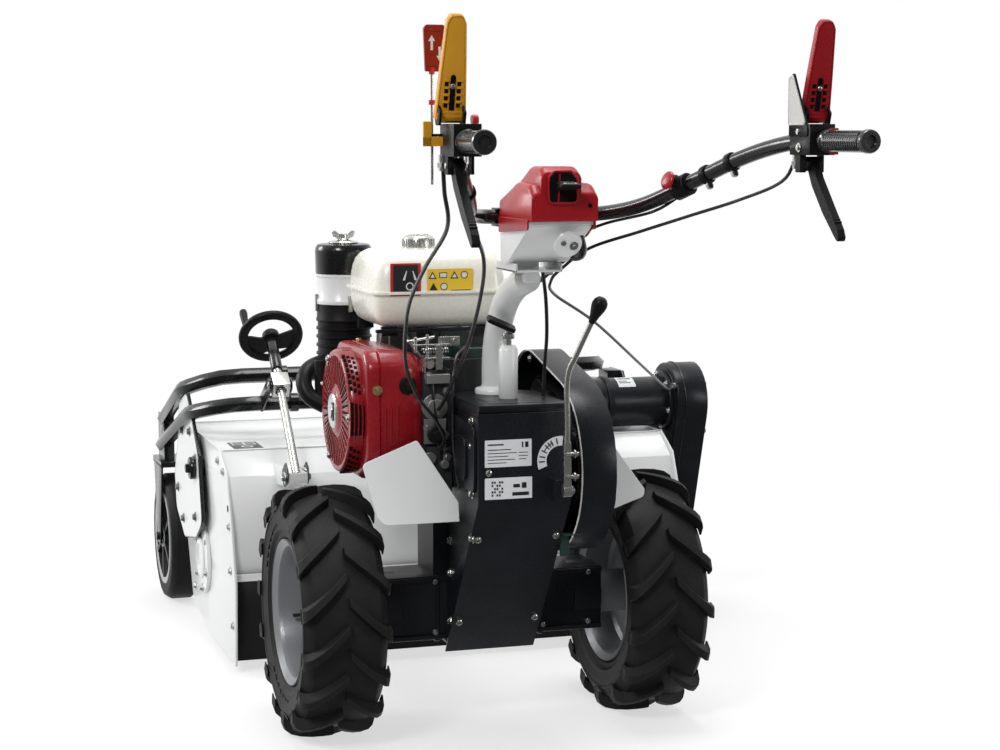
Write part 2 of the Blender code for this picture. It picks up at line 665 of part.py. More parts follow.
def cross_drive():
    flange = (0, 0.2018, 0.40833)
    gearbox = part("implement_gearbox", rod(flange, (0, 0.2133, 0.41141), 0.062), BLACK_PAINT)
    join(
        gearbox,
        rod((0, 0.207, 0.40975), (0, 0.62, 0.5203), 0.04),
        box((-0.075, 0.587, 0.4468), (0.075, 0.705, 0.563)),
        rod_x(0.06, 0.1385, CROSS_TUBE, 0.05),
        rod_x(0.137, 0.1502, CROSS_TUBE, 0.058),
    )
    arm = part("cross_tube", rod_x(0.1506, CASE_X[0] - GAP, CROSS_TUBE, 0.055, 28), BLACK_PAINT)
    cut(arm, rod_x(0.6, 0.64, CROSS_TUBE, 0.022))
    low, high = CASE_X
    shell = plate(hull(ROTOR, 0.13, CROSS_TUBE, 0.085, 14), "X", low, high)
    case = part("side_belt_case", shell, BLACK_PAINT)
    cut(
        case,
        plate(hull(ROTOR, 0.126, CROSS_TUBE, 0.081, 14), "X", low + 0.004, high - 0.004),
        rod_x(low - 0.01, low + 0.01, ROTOR, 0.0215),
        rod_x(low - 0.01, low + 0.01, CROSS_TUBE, 0.0215),
    )
    shaft = part("case_pulley", rod_x(0.602, high - 0.014, CROSS_TUBE, 0.02), STEEL, (0.664, *CROSS_TUBE))
    join(shaft, rod_x(low + 0.014, high - 0.014, CROSS_TUBE, 0.06, 24))
    belt = part("rotor_belt", plate(hull(ROTOR, 0.1, CROSS_TUBE, 0.07, 14), "X", 0.652, 0.678), RUBBER)
    cut(belt, plate(hull(ROTOR, 0.0925, CROSS_TUBE, 0.0625, 14), "X", 0.64, 0.69))


# Gauge wheels, their tilting frame and the height screw.


def gauge_frame():
    rear = [(-0.4062, 1.262, 0.365), (-0.4062, 0.84, 0.495), (-0.34, 0.735, 0.522), (0.53, 0.735, 0.522),
            (0.581, 0.84, 0.52), (0.581, 1.15, 0.49), (0.581, 1.262, 0.4)]
    front = [(-0.4062, 1.225, 0.432), (-0.4062, 0.95, 0.535), (-0.34, 0.85, 0.57), (0.53, 0.85, 0.57),
             (0.581, 0.95, 0.56), (0.581, 1.15, 0.53), (0.581, 1.225, 0.44)]
    frame = part("gauge_frame", tube(filleted(rear, 0.09), HOOP_RADIUS, 1), BLACK_PAINT,
                 (0.0875, *CARRIER_PIVOT))
    join(frame, tube(filleted(front, 0.09), HOOP_RADIUS, 1))
    arm = [(0.72, 0.27), (0.76, 0.41), (0.83, 0.475), (0.9, 0.53), (1.0, 0.5), (1.03, 0.4),
           (1.08, 0.33), (1.06, 0.25), (0.95, 0.2), (0.8, 0.225)]
    left, right = DECK_X[0] - 0.0155, DECK_X[1] + 0.0075
    join(frame, plate(arm, "X", left - 0.006, left),
         rod_x(left - 0.001, DECK_X[0] - 0.0045, CARRIER_PIVOT, 0.02))
    short = [(0.76, 0.34), (0.76, 0.42), (0.86, 0.55), (0.94, 0.55), (0.94, 0.48), (0.84, 0.34)]
    join(frame, plate(short, "X", right, right + 0.006),
         box((0.575, 0.87, 0.525), (right + 0.001, 0.93, 0.55)))
    for x, side in zip(GAUGE_X, (-1, 1)):
        fork(frame, x, side)
    ear = hull((SCREW_NUT.y, SCREW_NUT.z), 0.016, (0.735, 0.522), 0.018, 6)
    for offset in (-0.0245, 0.0205):
        join(frame, plate(ear, "X", SCREW_NUT.x + offset, SCREW_NUT.x + offset + 0.004))
    cut(
        frame,
        rod_x(left - 0.02, left + 0.02, CARRIER_PIVOT, 0.0105),
        rod_x(right - 0.005, right + 0.02, CARRIER_PIVOT, 0.0105),
        rod_x(SCREW_NUT.x - 0.04, SCREW_NUT.x + 0.04, SCREW_NUT[1:], 0.0066, 16),
    )


def fork(frame, x, side):
    cheek = [(1.212, 0.135), (1.248, 0.135), (1.29, 0.335), (1.17, 0.335)]
    post = x + side * 0.02
    join(
        frame,
        box((x - 0.045, 1.168, 0.323), (x + 0.045, 1.292, 0.3365)),
        box((post - 0.012, 1.2, 0.33), (post + 0.012, 1.285, 0.44)),
    )
    for outer in (-1, 1):
        face = x + outer * 0.0415
        join(frame, plate(cheek, "X", face - 0.002, face + 0.002))
    join(frame, rod_x(x - 0.05, x + 0.05, GAUGE_AXLE, 0.01, 16))


def gauge_wheels():
    half, radius = GAUGE_HALF, GAUGE_RADIUS
    profile = [(0.0105, 0.036), (0.026, 0.036), (0.026, 0.008), (0.092, 0.008), (0.1, 0.033), (0.14, half),
               (radius, 0.022), (radius, -0.022), (0.14, -half), (0.1, -0.033), (0.092, -0.008),
               (0.026, -0.008), (0.026, -0.036), (0.0105, -0.036)]
    for side, x in zip(("left", "right"), GAUGE_X):
        centre = (x, *GAUGE_AXLE)
        part(f"gauge_wheel_{side}", turned(profile, centre, (x + 1, *GAUGE_AXLE), 22), RUBBER, centre)


def height_screw():
    line = (SCREW_HEAD - SCREW_FOOT).normalized()
    side = line.cross(Vector((0, 0, 1))).normalized()
    up = side.cross(line)
    thread = rod(SCREW_FOOT + line * 0.004, SCREW_HEAD + line * 0.012, 0.009, sides=16)
    crank = part("height_screw", thread, ZINC, SCREW_HEAD)
    ring = [(0.062 + 0.0085 * cos(a), 0.0085 * sin(a)) for a in (-radians(60 * i) for i in range(6))]
    knob = SCREW_HEAD - side * 0.056 + up * 0.026
    bar = aimed(SCREW_HEAD, SCREW_HEAD + line)
    spoke = box((-0.062, -0.02, -0.003), (0.062, 0.02, 0.003))
    spoke.transform(bar @ Matrix.Rotation(radians(20), 4, "Z"))
    join(
        crank,
        turned(ring, SCREW_HEAD, SCREW_HEAD + line, 24),
        spoke,
        rod(SCREW_HEAD - line * 0.028, SCREW_HEAD + line * 0.008, 0.016),
        rod(knob, knob + line * 0.055, 0.006, 0.0085, sides=12),
        rod(SCREW_HEAD - line * 0.1, SCREW_HEAD - line * 0.026, 0.0125, sides=16),
    )
    block = box((-0.018, -0.02, -0.018), (0.018, 0.02, 0.018))
    block.transform(Matrix.Translation(SCREW_NUT) @ Matrix.Rotation(radians(35), 4, "X"))
    nut = part("screw_nut", block, ZINC, SCREW_NUT)
    x = SCREW_NUT.x
    join(nut, rod_x(x - 0.0262, x + 0.0262, SCREW_NUT[1:], 0.006, 16))
    cut(nut, rod(SCREW_NUT - line * 0.05, SCREW_NUT + line * 0.05, 0.0125, sides=16))


def cables():
    """Control cables, in the order of the clips and ferrules that they run between."""
    routes = {
        "cable_left_inner": (0.0033, [
            (-0.268, -0.779, 1.069), (-0.26, -0.755, 1.02), (-0.229, -0.7, 0.967), (-0.164, -0.55, 0.904),
            (-0.131, -0.42, 0.83), (-0.117, -0.3, 0.74), (-0.11, -0.2, 0.679), (-0.112, -0.13, 0.622),
            (-0.115, -0.1005, 0.605)]),
        "cable_left_outer": (0.0033, [
            (-0.2972, -0.779, 1.069), (-0.288, -0.755, 1.02), (-0.268, -0.7, 0.963), (-0.261, -0.55, 0.894),
            (-0.252, -0.42, 0.825), (-0.233, -0.32, 0.745), (-0.211, -0.26, 0.692), (-0.178, -0.21, 0.642),
            (-0.137, -0.17, 0.598), (-0.113, -0.14, 0.56), (-0.112, -0.108, 0.534)]),
        "cable_console": (0.0033, [
            (0.034, -0.255, 0.8655), (0.042, -0.25, 0.813), (0.054, -0.22, 0.749), (0.062, -0.185, 0.69),
            (0.064, -0.172, 0.634)]),
        "cable_mower_clutch": (0.0028, [
            (0.268, -0.779, 1.069), (0.26, -0.745, 1.03), (0.245, -0.62, 0.998), (0.2, -0.52, 0.969),
            (0.151, -0.42, 0.939), (0.098, -0.32, 0.907), (0.066, -0.262, 0.868), (0.06, -0.225, 0.845),
            (0.092, -0.15, 0.815), (0.217, -0.02, 0.75), (0.397, 0.2, 0.64), (0.533, 0.4, 0.565),
            (0.6, 0.54, 0.545), (0.626, 0.585, 0.545)]),
    }
    for name, (radius, points) in routes.items():
        part(name, tube_curve(points, radius, 1), BLACK_PLASTIC)


transaxle()
rear_panel()
top_plate()
mudguards()
gear_lever()
engine()
blower()
tank()
air_cleaner()
belt_drive()
column()
console()
handlebar()
small_controls()
drive_wheels()
deck()
rotor()
cross_drive()
gauge_frame()
gauge_wheels()
height_screw()
cables()
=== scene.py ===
"""Looks of the brush mower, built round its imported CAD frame.

Metres, +Z up, +Y is the way the machine drives and +X its right side. Places are
measured from the ground point under the middle of the drive axle, as in the CAD,
and put() carries each piece from there into the frame.
"""

import json
from math import acos, cos, pi, radians, sin, tan

import bmesh
import bpy
from mathutils import Matrix, Vector


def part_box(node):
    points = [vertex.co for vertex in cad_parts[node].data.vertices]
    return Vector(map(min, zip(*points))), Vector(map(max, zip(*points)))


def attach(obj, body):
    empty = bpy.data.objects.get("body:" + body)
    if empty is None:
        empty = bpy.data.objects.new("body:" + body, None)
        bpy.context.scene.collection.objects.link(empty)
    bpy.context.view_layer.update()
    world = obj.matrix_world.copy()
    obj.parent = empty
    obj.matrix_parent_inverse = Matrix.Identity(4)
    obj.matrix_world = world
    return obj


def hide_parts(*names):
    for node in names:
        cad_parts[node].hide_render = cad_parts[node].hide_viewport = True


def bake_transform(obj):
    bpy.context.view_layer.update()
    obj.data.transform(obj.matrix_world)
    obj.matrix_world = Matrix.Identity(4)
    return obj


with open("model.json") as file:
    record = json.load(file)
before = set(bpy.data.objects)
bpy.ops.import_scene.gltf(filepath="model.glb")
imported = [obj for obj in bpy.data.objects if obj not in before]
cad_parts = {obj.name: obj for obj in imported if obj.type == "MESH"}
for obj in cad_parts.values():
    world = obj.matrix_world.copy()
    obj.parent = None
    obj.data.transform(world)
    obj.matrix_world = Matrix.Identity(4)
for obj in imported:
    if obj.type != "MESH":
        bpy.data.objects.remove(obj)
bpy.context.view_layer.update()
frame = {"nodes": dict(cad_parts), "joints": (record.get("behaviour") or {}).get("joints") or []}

JOINTS = {joint["name"]: joint for joint in frame["joints"]}


def joint_point(name):
    return Vector(JOINTS[name]["pos_m"])


AXLE = (joint_point("wheel_left_spin") + joint_point("wheel_right_spin")) / 2
AXLE.z = 0
LEFT, RIGHT, REAR, UP = (-1, 0, 0), (1, 0, 0), (0, -1, 0), (0, 0, 1)


def pivot(name):
    return joint_point(name) - AXLE


def node_box(node):
    low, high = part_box(node)
    return low - AXLE, high - AXLE


# Shapes: each function returns a mesh.


def mesh_of(bm):
    bmesh.ops.recalc_face_normals(bm, faces=bm.faces)
    mesh = bpy.data.meshes.new("shape")
    bm.to_mesh(mesh)
    bm.free()
    return mesh


def aimed(start, toward):
    """The placement that puts +Z on the line from start toward the other point."""
    line = Vector(toward) - Vector(start)
    turn = Vector(UP).rotation_difference(line).to_matrix().to_4x4()
    return Matrix.Translation(start) @ turn


def placed(mesh, matrix):
    mesh.transform(matrix)
    return mesh


def box(low, high, turn=None):
    low, high = Vector(low), Vector(high)
    bm = bmesh.new()
    size = Matrix.Diagonal(high - low).to_4x4()
    centre = Matrix.Translation((low + high) / 2)
    bmesh.ops.create_cube(bm, size=1, matrix=centre @ (turn or Matrix.Identity(4)) @ size)
    return mesh_of(bm)


def rod(start, end, radius, end_radius=None, sides=28):
    start, end = Vector(start), Vector(end)
    length = (end - start).length
    bm = bmesh.new()
    bmesh.ops.create_cone(
        bm,
        cap_ends=True,
        segments=sides,
        radius1=radius,
        radius2=radius if end_radius is None else end_radius,
        depth=length,
        matrix=aimed(start, end) @ Matrix.Translation((0, 0, length / 2)),
    )
    return mesh_of(bm)


def rod_x(low, high, centre, radius, sides=28):
    return rod((low, *centre), (high, *centre), radius, sides=sides)


def turned(profile, start, toward, steps=64):
    """A closed (radius, height) profile turned about the line from start."""
    bm = bmesh.new()
    ring = [bm.verts.new((max(radius, 1e-6), 0, height)) for radius, height in profile]
    edges = [bm.edges.new(pair) for pair in zip(ring, ring[1:] + ring[:1])]
    bmesh.ops.spin(
        bm, geom=ring + edges, cent=(0, 0, 0), axis=UP, angle=2 * pi, steps=steps, use_merge=True
    )
    bmesh.ops.remove_doubles(bm, verts=bm.verts, dist=2e-6)
    bmesh.ops.dissolve_degenerate(bm, dist=1e-7, edges=bm.edges)
    return placed(mesh_of(bm), aimed(start, toward))


LAYOUTS = {
    "X": Matrix(((0, 0, 1), (1, 0, 0), (0, 1, 0))).to_4x4(),
    "Y": Matrix(((1, 0, 0), (0, 0, 1), (0, 1, 0))).to_4x4(),
    "Z": Matrix.Identity(4),
}


def plate(outline, axis, low, high):
    """A flat outline of the two other coordinates, thickened from low to high along axis."""
    bm = bmesh.new()
    face = bm.faces.new([bm.verts.new((u, v, low)) for u, v in outline])
    grown = bmesh.ops.extrude_face_region(bm, geom=[face])
    moved = [made for made in grown["geom"] if isinstance(made, bmesh.types.BMVert)]
    bmesh.ops.translate(bm, verts=moved, vec=(0, 0, high - low))
    return placed(mesh_of(bm), LAYOUTS[axis])


def smooth_path(points, step=0.012, closed=False):
    """Points along the smooth curve through the given ones."""
    points = [Vector(point) for point in points]
    count = len(points)
    made = []
    spans = count if closed else count - 1
    for i in range(spans):
        p1, p2 = points[i], points[(i + 1) % count]
        p0 = points[i - 1] if closed or i > 0 else p1 * 2 - p2
        p3 = points[(i + 2) % count] if closed or i + 2 < count else p2 * 2 - p1
        parts = max(2, int((p2 - p1).length / step))
        for k in range(parts):
            t = k / parts
            made.append(
                0.5 * ((2 * p1) + (p2 - p0) * t + (2 * p0 - 5 * p1 + 4 * p2 - p3) * t * t
                       + (3 * p1 - p0 - 3 * p2 + p3) * t ** 3)
            )
    if not closed:
        made.append(points[-1])
    return made


def sweep(path, radius, sides=14, closed=False, flatten=None):
    """A round bar along the path. A list of radii gives one for each point."""
    path = [Vector(point) for point in path]
    radii = radius if isinstance(radius, list) else [radius] * len(path)
    bm = bmesh.new()
    rings = []
    side = None
    for i, point in enumerate(path):
        ahead = path[(i + 1) % len(path)] if closed else path[min(i + 1, len(path) - 1)]
        behind = path[i - 1] if closed or i else path[0]
        line = (ahead - behind).normalized()
        if side is None:
            side = line.orthogonal().normalized()
        side = (side - line * side.dot(line)).normalized()
        up = line.cross(side)
        ring = []
        for k in range(sides):
            angle = 2 * pi * k / sides
            across, along = cos(angle) * radii[i], sin(angle) * radii[i]
            offset = side * across + up * along
            if flatten:
                axis, share = Vector(flatten[0]), flatten[1]
                offset -= axis * offset.dot(axis) * (1 - share)
            ring.append(bm.verts.new(point + offset))
        rings.append(ring)
    pairs = list(zip(rings, rings[1:] + rings[:1])) if closed else list(zip(rings, rings[1:]))
    for one, two in pairs:
        for k in range(sides):
            bm.faces.new((one[k], one[(k + 1) % sides], two[(k + 1) % sides], two[k]))
    if not closed:
        bm.faces.new(rings[0][::-1])
        bm.faces.new(rings[-1])
    return mesh_of(bm)


def merged(*meshes):
    bm = bmesh.new()
    for mesh in meshes:
        bm.from_mesh(mesh)
        bpy.data.meshes.remove(mesh)
    made = bpy.data.meshes.new("shape")
    bm.to_mesh(made)
    bm.free()
    return made


def arc(centre, radius, first, last, steps):
    """Points on an arc, angles in degrees."""
    return [round_at(centre, radius, first + (last - first) * i / steps) for i in range(steps + 1)]


def hull(one, r_one, two, r_two, steps=24):
    """The outline round two circles."""
    across = Vector(two) - Vector(one)
    lean = Vector((1, 0)).angle_signed(across) * -1
    open_angle = acos((r_one - r_two) / across.length)
    lean, open_angle = lean * 180 / pi, open_angle * 180 / pi
    first = arc(one, r_one, lean + open_angle, lean + 360 - open_angle, steps)
    return first + arc(two, r_two, lean - open_angle, lean + open_angle, steps)


def rounded(outline, radius, steps=5):
    """The outline with each corner rounded. A list of radii gives one for each corner."""
    radii = radius if isinstance(radius, list) else [radius] * len(outline)
    made = []
    for i, corner in enumerate(outline):
        here = Vector(corner)
        before = Vector(outline[i - 1]) - here
        after = Vector(outline[(i + 1) % len(outline)]) - here
        half = before.angle(after) / 2
        cut = min(radii[i] / tan(half), before.length * 0.49, after.length * 0.49)
        if cut < 1e-5:
            made.append(tuple(here))
            continue
        start, end = here + before.normalized() * cut, here + after.normalized() * cut
        for k in range(steps + 1):
            t = k / steps
            made.append(tuple(start * (1 - t) ** 2 + here * 2 * t * (1 - t) + end * t * t))
    return made


def rectangle(low, high):
    return [(low[0], low[1]), (high[0], low[1]), (high[0], high[1]), (low[0], high[1])]


def sector(centre, inner, outer, first, last, steps=10):
    """The outline of part of a ring."""
    return arc(centre, outer, first, last, steps) + arc(centre, inner, last, first, steps)


def loft(rings, capped=True):
    """A skin over rings that hold the same number of points."""
    bm = bmesh.new()
    made = [[bm.verts.new(point) for point in ring] for ring in rings]
    for one, two in zip(made, made[1:]):
        for k in range(len(one)):
            bm.faces.new((one[k - 1], one[k], two[k], two[k - 1]))
    if capped:
        bm.faces.new(made[0][::-1])
        bm.faces.new(made[-1])
    return mesh_of(bm)


def bolt(at, toward, radius=0.0065, head=0.005, washer=True):
    """A hexagon head on its washer."""
    at, toward = Vector(at), Vector(toward).normalized()
    parts = [rod(at, at + toward * head, radius, radius * 0.97, sides=6)]
    parts.append(rod(at + toward * head * 0.9, at + toward * head * 1.12, radius * 0.78, radius * 0.7,
                     sides=20))
    if washer:
        parts.append(rod(at - toward * 0.001, at + toward * 0.0014, radius * 1.45, sides=24))
    return merged(*parts)


def screw_head(at, toward, radius=0.006, height=0.004):
    """A domed socket screw."""
    profile = [(radius * 0.45, height * 0.4), (radius * 0.45, height), (radius * 0.8, height * 0.85),
               (radius, height * 0.45), (radius, -0.0005), (0, -0.0005), (0, height * 0.4)]
    return turned(profile, at, Vector(at) + Vector(toward), 20)


def round_at(centre, reach, angle):
    """A point on a circle, angle in degrees."""
    return centre[0] + reach * cos(radians(angle)), centre[1] + reach * sin(radians(angle))


def turn_at(place, angle, axis):
    return Matrix.Translation(place) @ Matrix.Rotation(angle, 4, axis)


def curved(points, step, radius, sides):
    """A hose, wire or bar along the smooth curve through the points."""
    return sweep(smooth_path(points, step), radius, sides)


# Finishes.


def nodes_for(name):
    material = bpy.data.materials.new(name)
    material.use_nodes = True
    tree = material.node_tree
    tree.nodes.clear()
    return material, tree


def add(tree, kind, inputs, **settings):
    """A shader node. Each input takes a constant or the output that feeds it."""
    made = tree.nodes.new("ShaderNode" + kind)
    for name, value in settings.items():
        setattr(made, name, value)
    for socket, value in inputs.items():
        if isinstance(value, bpy.types.NodeSocket):
            tree.links.new(value, made.inputs[socket])
        else:
            made.inputs[socket].default_value = value
    return made


def noise_node(tree, coordinates, scale, detail):
    texture = add(tree, "TexNoise", {
        "Scale": scale, "Detail": detail, "Roughness": 0.55, "Vector": coordinates})
    return texture.outputs["Fac"]


def ramp_node(tree, factor, low, high, start=0.3, end=0.7):
    ramp = add(tree, "ValToRGB", {"Fac": factor})
    for stop, position, colour in zip(ramp.color_ramp.elements, (start, end), (low, high)):
        stop.position, stop.color = position, colour
    return ramp.outputs["Color"]


def mixed(tree, share, base, over):
    """The base colour with a constant one mixed in."""
    mix = add(tree, "Mix", {"Factor": share, "A": base, "B": over}, data_type="RGBA")
    return mix.outputs["Result"]


def tinted(colour, gain, lift=0):
    return [min(1, channel * gain + lift) for channel in colour] + [1]


def finish(
    name, colour, rough, metallic=0.0, vary=0.12, patch=9.0, grain=220.0, bump=0.04,
    rough_spread=0.08, coat=0.0, coat_rough=0.08, specks=0.0, dust=None, streak=None, specular=0.5,
):
    """A painted, moulded, cast or plated surface.

    vary and patch are the strength and scale of its colour patches, grain and bump those of
    its fine relief. specks adds small pale points, dust a colour that settles low down, and
    streak stretches the grain along one axis, as brushing or turning does.
    """
    material, tree = nodes_for(name)
    place = add(tree, "TexCoord", {}).outputs["Object"]
    stretched = add(tree, "Mapping", {"Scale": streak or (1, 1, 1), "Vector": place})
    patches = noise_node(tree, place, patch, 4.0)
    shown = ramp_node(tree, patches, tinted(colour, 1 - vary), tinted(colour, 1 + vary))
    fine = noise_node(tree, stretched.outputs["Vector"], grain, 2.0)
    if specks:
        points = noise_node(tree, place, grain * 1.7, 1.0)
        mask = ramp_node(tree, points, (0, 0, 0, 1), (specks, specks, specks, 1), 0.62, 0.74)
        shown = mixed(tree, mask, shown, tinted(colour, 2.6, 0.05))
    if dust:
        height = add(tree, "SeparateXYZ", {"Vector": place}).outputs["Z"]
        fade = add(tree, "MapRange", {
            "Value": height, "From Min": 0.0, "From Max": 0.5, "To Min": 0.5, "To Max": 0.12})
        weight = add(tree, "Math", {0: fade.outputs["Result"], 1: patches}, operation="MULTIPLY")
        shown = mixed(tree, weight.outputs["Value"], shown, (*dust, 1))
    spread = add(tree, "MapRange", {
        "Value": fine, "From Min": 0.3, "From Max": 0.7,
        "To Min": max(0.02, rough - rough_spread), "To Max": rough + rough_spread})
    relief = add(tree, "Bump", {"Strength": bump, "Distance": 0.001, "Height": fine})
    shader = add(tree, "BsdfPrincipled", {
        "Base Color": shown, "Roughness": spread.outputs["Result"], "Normal": relief.outputs["Normal"],
        "Metallic": metallic, "Coat Weight": coat, "Coat Roughness": coat_rough,
        "Specular IOR Level": specular})
    add(tree, "OutputMaterial", {"Surface": shader.outputs["BSDF"]})
    return material


BLACK_PAINT = finish("black_powder_coat", (0.008, 0.0088, 0.0115), 0.33, bump=0.05, grain=420, vary=0.25,
                     specks=0.02, specular=0.3)
BLACK_SATIN = finish("black_tube_paint", (0.007, 0.0075, 0.0085), 0.24, bump=0.03, grain=260, vary=0.2,
                     coat=0.25, coat_rough=0.12, specular=0.35)
WHITE_PAINT = finish("white_gloss_paint", (0.7, 0.71, 0.71), 0.3, bump=0.003, grain=90, vary=0.012,
                     rough_spread=0.02,
                     coat=0.25, coat_rough=0.1)
CREAM = finish("cream_tank_plastic", (0.76, 0.75, 0.66), 0.27, rough_spread=0.03, bump=0.003, grain=140,
               vary=0.02, coat=0.4)
RED_PAINT = finish("deep_red_paint", (0.24, 0.006, 0.010), 0.28, bump=0.03, grain=160, vary=0.16,
                   coat=0.3, coat_rough=0.1, specks=0.02, specular=0.35)
RED_PLASTIC = finish("red_moulded_plastic", (0.33, 0.006, 0.010), 0.33, bump=0.02, grain=300, vary=0.07,
                     specular=0.35,
                     coat=0.1, coat_rough=0.2)
YELLOW = finish("ochre_moulded_plastic", (0.62, 0.29, 0.012), 0.38, bump=0.03, grain=300, vary=0.08,
                coat=0.15, coat_rough=0.2)
BLACK_PLASTIC = finish("black_moulded_plastic", (0.0065, 0.0065, 0.007), 0.42, bump=0.05, grain=520,
                       vary=0.25,
                       specular=0.2)
GREY_PLASTIC = finish("grey_moulded_plastic", (0.34, 0.35, 0.36), 0.4, bump=0.04, grain=420, vary=0.06)
PALE_GUARD = finish("pale_guard_plastic", (0.5, 0.49, 0.47), 0.36, bump=0.03, grain=300, vary=0.06)
RUBBER = finish("black_rubber", (0.011, 0.011, 0.011), 0.6, bump=0.12, grain=650, vary=0.3, specular=0.22)
TYRE = finish("tyre_rubber", (0.0085, 0.0082, 0.008), 0.6, bump=0.12, grain=380, vary=0.35, patch=14,
              specks=0.04, dust=(0.02, 0.019, 0.018), specular=0.24)
RIM = finish("silver_rim_paint", (0.2, 0.21, 0.225), 0.36, metallic=0.3, bump=0.04, grain=220, vary=0.08,
             dust=(0.16, 0.15, 0.14))
CAST = finish("cast_aluminium", (0.34, 0.34, 0.33), 0.42, metallic=0.85, bump=0.3, grain=480, vary=0.2,
              specks=0.1)
DARK_CAST = finish("dark_casting", (0.02, 0.021, 0.023), 0.42, metallic=0.3, bump=0.3, grain=420, vary=0.3,
                   specks=0.05)
MACHINED = finish("machined_aluminium", (0.68, 0.68, 0.66), 0.26, metallic=1.0, bump=0.015, grain=160,
                  vary=0.08, streak=(1, 1, 8))
ZINC = finish("zinc_plate", (0.6, 0.6, 0.57), 0.26, metallic=0.95, bump=0.015, grain=120, vary=0.12,
              rough_spread=0.04)
BRASS_ZINC = finish("yellow_zinc_plate", (0.66, 0.52, 0.26), 0.3, metallic=0.95, bump=0.05, grain=240,
                    vary=0.2)
STEEL = finish("dark_machined_steel", (0.2, 0.2, 0.205), 0.34, metallic=0.9, bump=0.08, grain=300, vary=0.2)
GREY_STEEL = finish("grey_painted_bracket", (0.03, 0.034, 0.037), 0.4, metallic=0.2, bump=0.08, grain=260,
                    vary=0.18)
GREEN_STEEL = finish("dark_green_paint", (0.012, 0.032, 0.026), 0.34, bump=0.05, grain=260, vary=0.2,
                     coat=0.3)
MUFFLER = finish("heat_dulled_steel", (0.05, 0.047, 0.045), 0.5, metallic=0.6, bump=0.14, grain=300,
                 vary=0.3)
CABLE = finish("cable_sheath", (0.011, 0.011, 0.012), 0.3, bump=0.02, grain=500, vary=0.2, coat=0.2)
GRIP = finish("glossy_grip_rubber", (0.012, 0.012, 0.0125), 0.27, bump=0.05, grain=500, vary=0.25, coat=0.5)
# Painted shade: a near-black laid where slots, vents, gaps, recesses and holes would be in shadow.
DARK = finish("shadowed_gap", (0.004, 0.004, 0.0045), 0.85, bump=0.02, grain=200, vary=0.2, specular=0.1)
PAPER = finish("label_white", (0.62, 0.64, 0.65), 0.4, bump=0.01, grain=200, vary=0.03)
INK = finish("label_black", (0.012, 0.012, 0.012), 0.4, bump=0.01, grain=200, vary=0.1)
LABEL_RED = finish("label_red", (0.42, 0.02, 0.014), 0.36, bump=0.01, grain=200, vary=0.05)
LABEL_YELLOW = finish("label_yellow", (0.72, 0.47, 0.02), 0.36, bump=0.01, grain=200, vary=0.04)

# The material slot that goes with a finish, unless a piece names its own.
SLOTS = {
    made.name: slot for slot, finishes in {
        "zinc": (ZINC, BRASS_ZINC), "black_paint": (BLACK_PAINT, BLACK_SATIN),
        "white_paint": (WHITE_PAINT,), "black_plastic": (BLACK_PLASTIC,),
        "red_paint": (RED_PAINT,), "red_plastic": (RED_PLASTIC,), "yellow_plastic": (YELLOW,),
        "cream_plastic": (CREAM,), "aluminium": (MACHINED, CAST), "steel": (STEEL,),
        "cable_sheath": (CABLE,), "rubber": (RUBBER, GRIP), "tyre": (TYRE,), "rim_paint": (RIM,),
    }.items() for made in finishes
}


# Pieces: each one rides on a CAD body.


def softened(made, width, segments, angle):
    edge = made.modifiers.new("bevel", "BEVEL")
    edge.width, edge.segments, edge.limit_method = width, segments, "ANGLE"
    edge.angle_limit, edge.harden_normals = radians(angle), True


def shaded(mesh, angle=32):
    mesh.polygons.foreach_set("use_smooth", [True] * len(mesh.polygons))
    mesh.set_sharp_from_angle(angle=radians(angle))


def put(name, body, mesh, material, slot=None, replaces=(), bevel=0.0, segments=2, angle=32):
    """Places a mesh, or a list of them, made in axle coordinates and sets it to ride on its body.

    Its slot is worked out from the finish, or taken from the slot argument, but not given to the piece.
    """
    if isinstance(mesh, list):
        mesh = merged(*mesh)
    mesh.transform(Matrix.Translation(AXLE))
    mesh.name = name
    mesh.materials.clear()
    mesh.materials.append(material)
    made = bpy.data.objects.new(name, mesh)
    bpy.context.scene.collection.objects.link(made)
    shaded(mesh, angle)
    if bevel:
        softened(made, bevel, segments, 40)
    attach(made, body)
    slot = SLOTS.get(material.name) if slot is None else slot
    if replaces:
        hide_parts(*replaces)
    return made


def carried(node, material, bevel=0.0012, segments=2):
    """Gives a CAD node that stays its finish and softened edges."""
    made = frame["nodes"][node]
    made.data.materials.clear()
    made.data.materials.append(material)
    polygons = made.data.polygons
    polygons.foreach_set("material_index", [0] * len(polygons))
    polygons.foreach_set("use_smooth", [True] * len(polygons))
    made.modifiers.new("weld", "WELD").merge_threshold = 0.00002
    softened(made, bevel, segments, 30)


# Camera, light and floor.


def fade_out(material):
    """Lets the floor clear away with distance, so that it has no edge."""
    tree = material.node_tree
    out = next(node for node in tree.nodes if node.type == "OUTPUT_MATERIAL").inputs["Surface"]
    solid = out.links[0].from_socket
    place = add(tree, "TexCoord", {}).outputs["Object"]
    reach = add(tree, "VectorMath", {0: place}, operation="LENGTH")
    share = add(tree, "MapRange", {
        "From Min": 1.1, "From Max": 3.6, "Value": reach.outputs["Value"]},
        interpolation_type="SMOOTHSTEP")
    glow = add(tree, "Emission", {}).outputs["Emission"]
    lit = add(tree, "MixShader", {"Fac": 0.62, 1: solid, 2: glow})
    clear = add(tree, "BsdfTransparent", {}).outputs["BSDF"]
    mix = add(tree, "MixShader", {"Fac": share.outputs["Result"], 1: lit.outputs["Shader"], 2: clear})
    tree.links.new(mix.outputs["Shader"], out)


